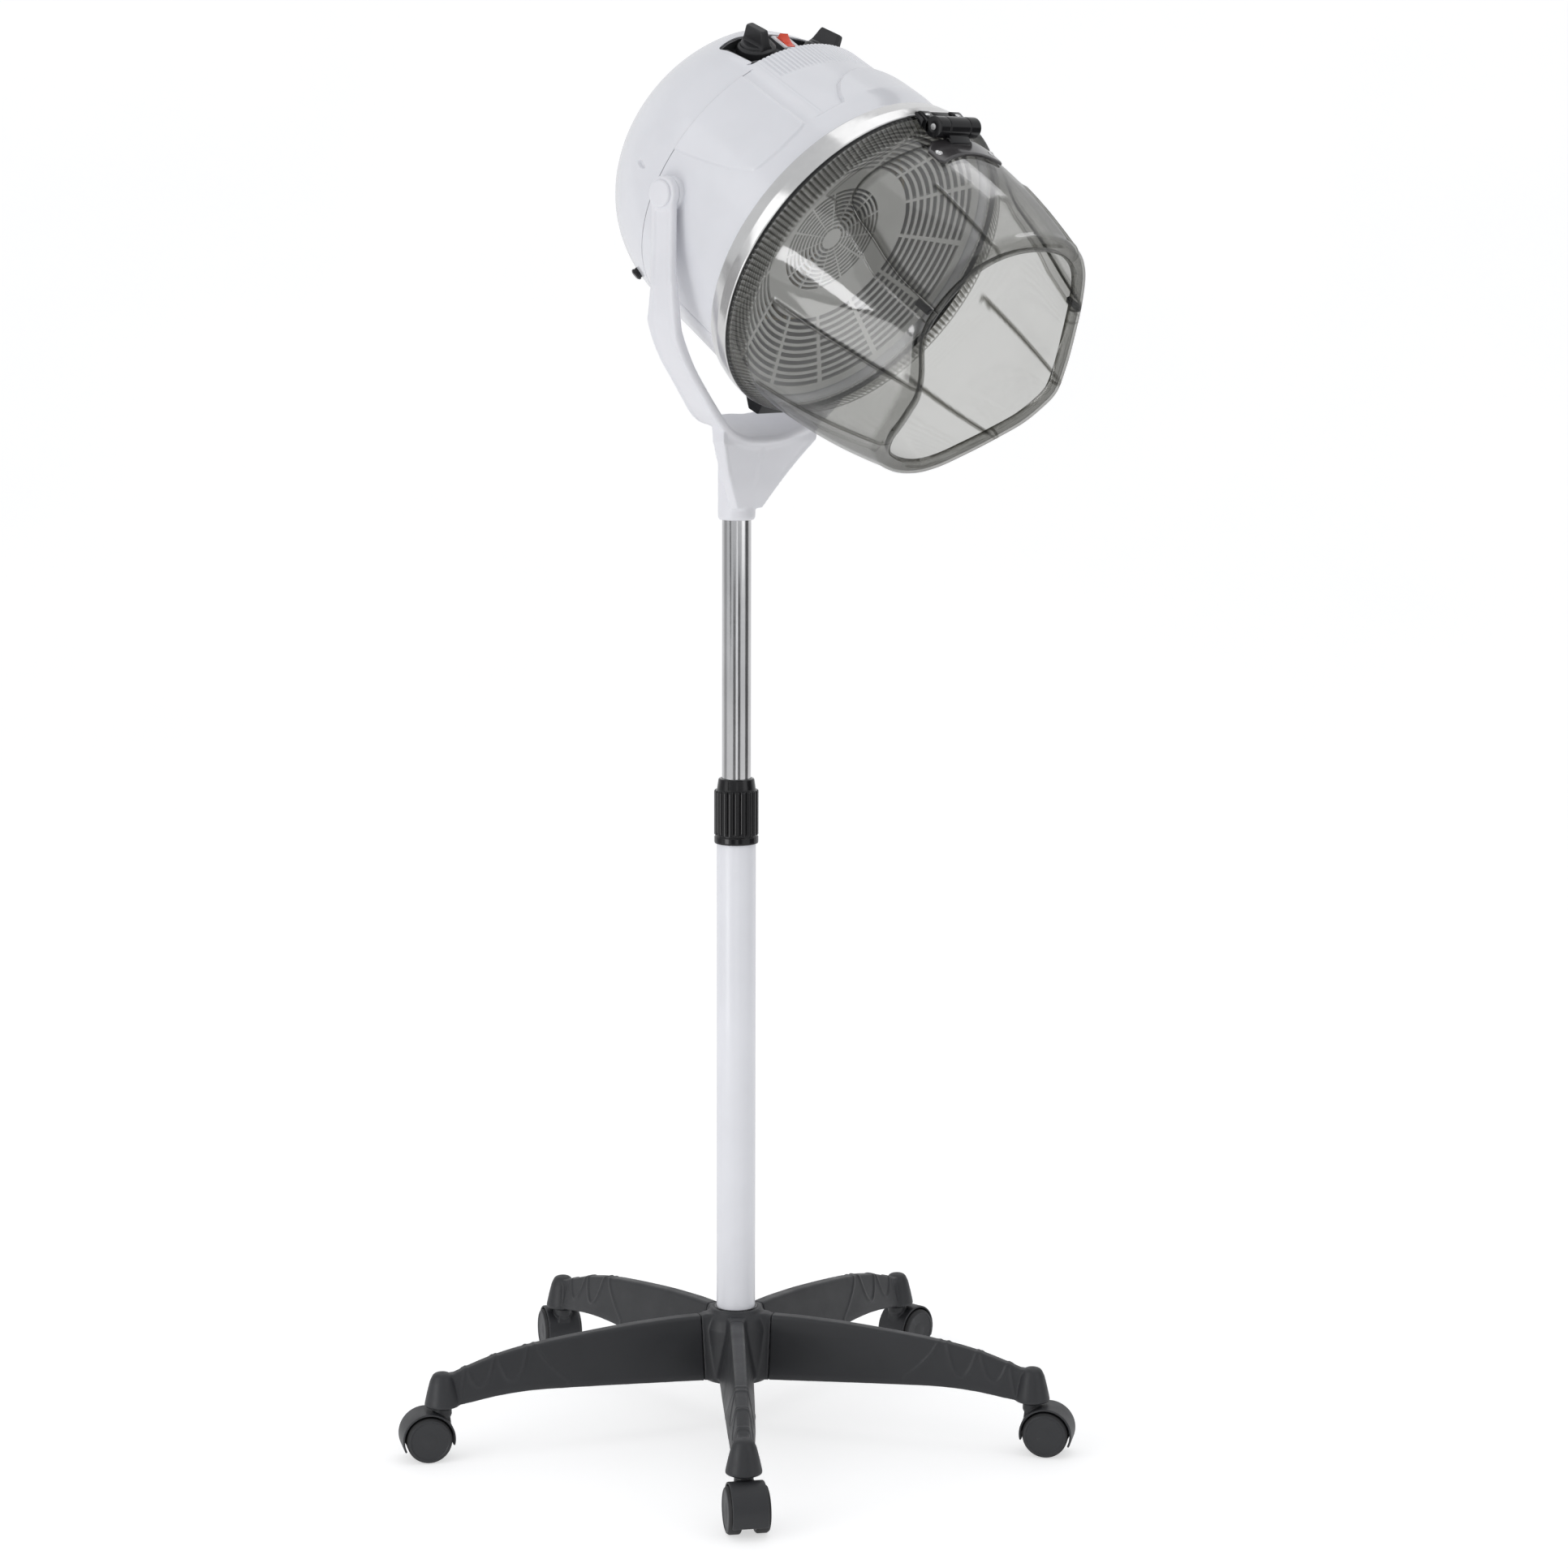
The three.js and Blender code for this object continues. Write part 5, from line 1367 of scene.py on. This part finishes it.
def build_hinge():
    # fixed leaf: two outer knuckles, their webs and a base plate on the collar
    spans = (("near", -28, -14.1, -14.2), ("far", 14.1, 28, 28))
    for word, low, high, _ in spans:
        give(knuckle(f"hinge_knuckle_{word}", low, high), "hood")
    web = fillet([
        (121.9, 161.2, 0.4), (122.2, 164.9, 1.4), (130.5, 164.0, 3), (136.3, 163.4, 2),
        (141.0, 156.6, 1), (141.0, 152.6, 0.5), (135.0, 154.4, 0.5)], 4)
    for word, low, high in (("near", -28, -14.2), ("far", 14.2, 28)):
        give(prism(f"hinge_web_{word}", web, low, high, "black", hood_side, bevel=0.7), "hood")
    base = fillet([(121.7, 160.9, 0.3), (121.9, 163.9, 1.2), (129.5, 162.4, 2),
                   (133.8, 161.2, 1), (134.2, 154.6, 0.3)], 4)
    give(prism("hinge_base", base, -31, 31, "black", hood_side, bevel=0.8),
         "hood", "hinge_fixed_leaf")
    finish_node("hinge_pin", "screw")
    give(knuckle("hinge_knuckle_door", -13.6, 13.6), "visor_door")
    give(hinge_leaf(), "visor_door", "hinge_door_leaf")
    neck = fillet([(146.5, 153.2, 0.5), (147, 160.5, 1), (152.5, 160, 2), (160.5, 155.2, 3),
                   (162, 151.6, 0.5), (151, 151.8, 0.5)], 4)
    give(prism("hinge_leaf_neck", neck, -13.4, 13.4, "black", hood_side, bevel=0.7),
         "visor_door")
    for side, word in SIDES:
        cross_screw(f"screw_fixed_{word}", (side * 21.5, 127.5, 163.2),
                    (side * 0.12, -0.45, 0.9), "hood", 3.4)
    for side, word in SIDES:
        cross_screw(f"screw_door_{word}", visor_point(side * 13.8, 169.0, 3.4),
                    (side * 0.24, 0.12, 0.96), "visor_door", 3.5)
    # small block on each side where the door's edge meets the rim
    for side, word in SIDES:
        angle = side * 61.3
        rim_r, rim_along = rim_at(angle)
        sin, cos = math.sin(rad(angle)), math.cos(rad(angle))
        place = frame_at(hood_point(polar(angle, rim_r - 1.0, rim_along - 12.0)),
                         hood_vec((sin, 0, cos)), hood_vec((cos, 0, -sin)))
        outline = fillet([(-3.4, -8), (3.4, -8), (3.4, 9.5), (-3.4, 9.5)], 3, radius=1.2)
        give(prism(f"door_catch_{word}", outline, 0.0, 3.4, "black", place, bevel=0.6), "hood")


# ------------------------------------------------------------------ panel, dials, switch
# Dial blade: (height, half-length, half-width)
DIAL_BLADE = [(9.0, 15.3, 8.2), (11.5, 15.2, 7.0), (13.5, 14.9, 5.6), (16, 14.3, 4.9),
              (20, 13.4, 4.6), (24, 12.5, 4.4), (26.6, 11.9, 4.2), (27.6, 11.4, 3.8),
              (27.95, 10.8, 3.2)]


def panel_marks(name, quads, height, look):
    """Thin printed quads, each four (x, along) corners, lying on the panel's floor."""
    verts, faces = [], []
    for quad in quads:
        base = len(verts)
        for lift in (0.05, height):
            verts += [(x, along, -12 + math.sqrt(130.0 ** 2 - x * x) + 0.2 * (along + 64) + lift)
                      for x, along in quad]
        box = [(3, 2, 1, 0), (4, 5, 6, 7)]
        box += [(i, (i + 1) % 4, 4 + (i + 1) % 4, 4 + i) for i in range(4)]
        faces += [tuple(base + i for i in face) for face in box]
    give(tidy(make_mesh(name, hood_point(verts), faces, look)), "hood")


def on_floor(x, along):
    """Whether a place is on the panel's bare floor, off its edges and the middle island."""
    rear = -74 - 12 * (1 - abs(x) / 82)
    return 12.6 <= abs(x) <= 79 and rear <= along <= -33.5


def build_dial(name, steps):
    origin = joint_at(name + "_turn")
    axis = np.array(JOINTS[name + "_turn"]["axis"], float)
    place = frame_at(origin, axis, AXIS_ALONG)
    skirt = turn(name + "_skirt", [
        (0, 0.7), (19.0, 0.7, 0.5), (18.9, 2.2, 0.6), (18.0, 9.0, 1.2), (16.2, 10.2, 0.5),
        (15.4, 10.4, 0.5), (15.0, 12.2, 0.8), (13.5, 13.2, 1), (0, 13.2)],
        4, 96, "knob", place)
    rows = []
    for height, half, width in DIAL_BLADE:
        outline = fillet([(-half, -width), (half, -width), (half, width), (-half, width)], 5,
                         radius=min(2.2, width * 0.6))
        rows.append([(x, y, height) for x, y in outline])
    blade = tidy(loft(name + "_blade", place(np.array(rows)), "knob", flip_caps=True))
    dial = union(name + "_dial", [skirt, blade], "knob", voxel=0.42, passes=3, factor=0.45)
    give(dial, name, name)
    # scale round the dial, long and short strokes in turn
    quads = []
    for k in range(steps):
        angle = rad(-60 + 300 * k / (steps - 1))
        out = AXIS_ALONG * math.cos(angle) + np.cross(axis, AXIS_ALONG) * math.sin(angle)
        side = np.cross(axis, out)
        end, half = (24.2, 0.55) if k % 2 == 0 else (22.6, 0.4)
        quad = []
        for radius, sign in ((21.0, -1), (21.0, 1), (end, 1), (end, -1)):
            point = origin + out * radius + side * sign * half
            quad.append((point[0], (point - PIVOT) @ AXIS_ALONG))
        if all(on_floor(*corner) for corner in quad):
            quads.append(quad)
    if quads:
        panel_marks(name + "_scale", quads, 0.28, "ink")


def build_switch():
    # bevelled ring on the island, open round the rocker
    middle = -70
    outer = np.array(fillet([(-11.6, -80.7), (11.6, -80.7), (11.6, -59.3), (-11.6, -59.3)], 4,
                            radius=1.6))
    inner = np.array(fillet([(-6.5, -79.35), (6.5, -79.35), (6.5, -61.1), (-6.5, -61.1)], 4,
                            radius=0.6))
    x, along = outer.T
    rings = np.array([xyz(x, along, 121.05),
                      xyz(x * 0.965, middle + (along - middle) * 0.965, 122.3),
                      xyz(*inner.T, 122.2), xyz(*inner.T, 121.05)])
    faces = grid(4, len(outer), True, True)
    give(tidy(make_mesh("switch_frame", hood_point(rings), faces, "bezel"), 35), "hood")
    # rocker: round belly, raised rear end, dished top
    press = joint_at("rocker_press") - PIVOT
    along, up = press @ AXIS_ALONG, press @ AXIS_UP
    outline = [(along + 7.5 * math.cos(q), up + 7.5 * math.sin(q))
               for q in (rad(180 + 7.5 * k) for k in range(25))]
    outline += [(along + 7.7, 122.2)]
    outline += [(along + 7.7 - 15.2 * f, 122.2 + 5.3 * f ** 1.7 - 0.5 * math.sin(math.pi * f))
                for f in np.linspace(0.06, 0.93, 12)]
    outline += [(along - 6.7, 127.4), (along - 7.0, 126.6)]
    rocker = prism("rocker", outline, -5.7, 5.7, "red", hood_side, bevel=0.6, sharp=30)
    give(rocker, "rocker_switch", "rocker_switch")


def build_panel():
    finish_node("control_panel", "panel", bevel=0.35)
    build_dial("timer_knob", steps=13)
    build_dial("heat_knob", steps=9)
    # coloured marks beside the switch
    for name, x, along, look in (("mark_warm", 17.0, -47, "ink_red"),
                                 ("mark_ready", -17.0, -45, "ink_green"),
                                 ("mark_ready_b", -17.0, -50, "ink")):
        quad = [(x - 1.7, along - 1.1), (x + 1.7, along - 1.1),
                (x + 1.7, along + 1.1), (x - 1.7, along + 1.1)]
        panel_marks(name, [quad], 0.3, look)
    build_switch()


# ------------------------------------------------------------------ grille, boot, handle
def build_grille():
    """Dished disc with rings of slots, crossed by radial bars."""
    bars, half_bar = 13, 1.15  # half_bar in degrees
    pitch = 360.0 / bars
    slots = [(r, r + 2.7) for r in np.arange(11.0, 53.5, 2.7 + 1.9)]
    slots += [(r, r + 3.6) for r in np.arange(82.0, 139, 3.6 + 2.6)]
    starts = {start for start, _ in slots}
    radii = sorted({3.0, 8.0, 58.0, 66.0, 74.0, 149.2, *(r for slot in slots for r in slot)})
    angles = []
    for k in range(bars):
        middle = pitch * k
        angles += [middle - half_bar, middle + half_bar]
        angles += list(np.linspace(middle + half_bar, middle + pitch - half_bar, 9)[1:-1])
    angles = np.array(sorted(angle % 360 for angle in angles))
    depth = interp(radii, [0, 30, 58, 66, 78, 110, 140, 149.2],
                   [74.0, 74.4, 75.2, 77.2, 82.0, 95.0, 108.0, 110.0])
    pts = polar(angles[:, None], np.array(radii), depth).reshape(-1, 3)
    centre, rings, count = len(pts), len(radii), len(angles)
    faces = []
    for i in range(count):
        k = (i + 1) % count
        middle = (angles[i] + ((angles[k] - angles[i]) % 360) / 2) % pitch
        bar = middle < half_bar or middle > pitch - half_bar
        faces.append((centre, i * rings, k * rings))
        for j in range(rings - 1):
            if bar or radii[j] not in starts:
                this, after = i * rings + j, k * rings + j
                faces.append((this, this + 1, after + 1, after))
    grille = make_mesh("grille", hood_point(np.vstack([pts, (0, 74.0, 0)])), faces, "grille")
    with editing(grille) as mesh:
        bmesh.ops.recalc_face_normals(mesh, faces=mesh.faces)
    apply(grille, "SOLIDIFY", thickness=2.2 * MM, offset=0.0)
    tidy(grille, 30)
    give(grille, "hood", "air_grille")


def build_cord_boot():
    cos, sin = math.cos(rad(-140)), math.sin(rad(-140))
    boot = turn("cord_boot", [
        (0, 136), (5.2, 136, 0.3), (5.2, 147.4, 0.3), (6.0, 147.8, 0.4), (5.8, 149.4, 0.8),
        (4.0, 150.6, 0.6), (0, 150.8)], 4, 48, "black", lambda pts: hood_point(xyz(
            pts[:, 2] * sin + pts[:, 0] * cos, pts[:, 1] - 42.0,
            pts[:, 2] * cos - pts[:, 0] * sin)))
    give(boot, "hood", "cord_strain_relief")


def build_handle():
    """Block under the hood, cut to fit the body and the chrome ring."""
    outline = fillet([(79, -148, 0.5), (93.8, -148, 1), (104.4, -158.5, 2),
                      (104.4, -175.4, 2.2), (91.2, -177.2, 2.2), (79, -166, 2)], 5)
    handle = prism("handle", outline, -25.8, 25.8, "black", hood_side, bevel=1.6, segments=4)
    cut(handle, lathe("handle_cutter", [
        (0, 40), (153.35, 40), (153.35, RING0 - 0.1), (157.9, RING0 - 0.1), (161.2, 108),
        (161.4, 130), (0, 130)], 160, "black", hood_lathe, closed=False))
    tidy(handle, 30, outward=False)
    give(handle, "hood", "tilt_handle")


build_legs()
build_hub()
build_column()
build_lock_collar()
build_casters()
build_yoke()
build_rear()
build_front()
build_collar()
build_skirt()
build_door()
build_hinge()
build_panel()
build_grille()
for node, look in (("heater_frame", "mica"), ("heater_element", "steel"),
                   ("fan_motor", "steel"), ("fan", "nylon"), ("timer_unit", "inner"),
                   ("heat_switch_unit", "inner")):
    finish_node(node, look, bevel=0.3)
build_cord_boot()
build_handle()

# ------------------------------------------------------------------ floor, light, camera
# From here on, lengths are in metres
FORWARD = Vector((0.74033, 0.67224, 0))   # the camera's heading, level
RIGHT = Vector((0.67224, -0.74033, 0))


def view_pt(right, forward, height):
    """A place given in the camera's sense, from the column."""
    offset = RIGHT * right + FORWARD * forward
    return (offset.x + COLUMN[0] * MM, offset.y + COLUMN[1] * MM, height)


def aim(part, location, target):
    part.location = location
    direction = Vector(target) - Vector(location)
    part.rotation_euler = direction.to_track_quat("-Z", "Y").to_euler()


def build_floor():
    """Floor that curves up into a backdrop."""
    half, curve_from, curve = 9.0, 3.2, 2.4
    profile = [(-half, 0.0), (curve_from, 0.0)]
    profile += [(curve_from + curve * math.sin(q), curve - curve * math.cos(q))
                for q in np.linspace(0, math.pi / 2, 14)[1:]]
    profile += [(curve_from + curve, half)]
    count = len(profile)
    sink = 0.0004
    floor = raw_object("studio_floor",
                       [(x, y, z - sink) for x in (-half, half) for y, z in profile],
                       [(i, i + 1, count + i + 1, count + i) for i in range(count - 1)])
    for face in floor.data.polygons:
        face.use_smooth = True
    floor.matrix_world = Matrix.Rotation(rad(-47.8), 4, "Z")
    shader = Shader("pale floor")
    drift = shader.remap(shader.noise(scale=1.3, detail=3), span=(0.3, 0.7))
    color = shader.mix(drift, (0.62, 0.62, 0.622), (0.64, 0.64, 0.642))
    # glows brighter to the camera than it lights the rest
    seen = shader.add("LightPath").outputs["Is Camera Ray"]
    glow = shader.remap(seen, span=(0, 1), to=(0.34, 0.56))
    bsdf = shader.add("BsdfPrincipled", {
        "Base Color": color, "Emission Color": (1, 1, 1), "Emission Strength": glow,
        "Roughness": 0.75, "Specular IOR Level": 0.1})
    floor.data.materials.append(shader.finish(bsdf))


def area(name, location, target, size, power, size_y=None):
    light = bpy.data.lights.new(name, "AREA")
    light.shape = "RECTANGLE"
    light.size = size
    light.size_y = size_y or size
    light.energy = power
    lamp = add_object(name, light)
    aim(lamp, location, target)
    return lamp


def card(name, location, target, width, height, shade):
    """A dark or bright panel that only mirrors see."""
    x, y = width / 2, height / 2
    panel = raw_object(name, [(-x, -y, 0), (x, -y, 0), (x, y, 0), (-x, y, 0)], [(0, 1, 2, 3)])
    aim(panel, location, target)
    shader = Shader(name)
    emission = shader.add("Emission", {"Color": (shade, shade, shade * 1.02), "Strength": 1.0})
    panel.data.materials.append(shader.finish(emission))
    panel.visible_camera = False
    panel.visible_diffuse = False
    panel.visible_shadow = False
    panel.visible_transmission = False
    return panel


def build_world():
    world = bpy.data.worlds.new("studio")
    scene.world = world
    world.use_nodes = True
    background = world.node_tree.nodes["Background"]
    background.inputs[0].default_value = (0.97, 0.98, 1.0, 1)
    background.inputs[1].default_value = 0.64


def build_lights():
    key = area("key", view_pt(-2.4, -1.5, 1.9), (0, -0.05, 0.7), size=1.8, power=10.6,
               size_y=2.6)
    area("fill", view_pt(2.6, -1.8, 1.7), (0, -0.05, 0.9), size=1.4, power=4.4)
    area("top", view_pt(0.6, 0.2, 3.4), (0, 0, 1.0), size=2.2, power=9)
    low = area("low", view_pt(-1.5, -1.3, 0.42), view_pt(-0.1, 0, 0.05), size=0.7, power=5)
    # the key and low lights are kept off the polished tube
    tube = bpy.data.collections.new("polished_tube")
    tube.objects.link(bpy.data.objects["tube"])
    tube.collection_objects[0].light_linking.link_state = "EXCLUDE"
    for lamp in (key, low):
        lamp.light_linking.receiver_collection = tube
    # name, place in the camera's sense, width, height, shade
    for name, place, width, height, shade in (
            ("dark_left", (-2.4, 0.3, 0.7), 1.3, 1.3, 0.40),
            ("dark_right", (2.3, 0.0, 0.7), 1.3, 1.3, 0.10),
            ("dark_front", (1.0, -2.5, 0.45), 0.9, 1.2, 0.10),
            ("bright_front", (0.22, -2.7, 0.6), 0.30, 1.4, 1.3),
            ("grey_front", (-0.75, -2.6, 0.45), 0.9, 1.2, 0.13)):
        card(name, view_pt(*place), (0, 0, 0.8), width, height, shade)


EYE = view_pt(0.04613, -3.57513, 1.16867)


def mirror_card(name, receivers, angle, along, width, height, distance, shade, spin):
    """Bright panel placed where it is seen mirrored in the visor at (angle, along)."""
    def scene_point(turned, out):
        return (hood_point(visor_point(turned, out)) + COLUMN) * MM

    point = scene_point(angle, along)
    normal = np.cross(scene_point(angle + 0.5, along) - point,
                      scene_point(angle, along + 1.5) - point)
    normal /= np.linalg.norm(normal)
    view = np.array(EYE) - point
    view /= np.linalg.norm(view)
    if normal @ view < 0:
        normal = -normal
    bounce = 2 * (normal @ view) * normal - view
    panel = card(name, tuple(point + bounce * distance), tuple(point), width, height, shade)
    panel.rotation_euler.rotate_axis("Z", spin)
    panel.light_linking.receiver_collection = receivers


def build_windows():
    clear = bpy.data.collections.new("clear_parts")
    for name in ("visor_wall", "visor_flap"):
        clear.objects.link(bpy.data.objects[name])
    mirror_card("window_left", clear, angle=-78, along=172, width=0.30, height=1.3,
                distance=2.4, shade=9.0, spin=0.5)
    mirror_card("window_top", clear, angle=-9, along=186, width=0.62, height=0.7,
                distance=2.4, shade=3.2, spin=0.4)


def build_camera():
    pitch, roll = rad(8.37), rad(0.17)
    lens = bpy.data.cameras.new("camera")
    lens.lens = 85.64
    lens.sensor_width = 36
    lens.sensor_fit = "HORIZONTAL"
    lens.clip_start = 0.1
    lens.clip_end = 60
    camera = add_object("camera", lens)
    look = FORWARD * math.cos(pitch) + Vector((0, 0, -math.sin(pitch)))
    camera.location = EYE
    camera.rotation_mode = "QUATERNION"
    tilt = Matrix.Rotation(roll, 4, "Z").to_quaternion()
    camera.rotation_quaternion = look.to_track_quat("-Z", "Y") @ tilt
    scene.camera = camera


build_floor()
build_world()
build_lights()
build_windows()
scene.view_settings.view_transform = "Standard"
scene.view_settings.look = "None"
scene.view_settings.exposure = 0.0
build_camera()
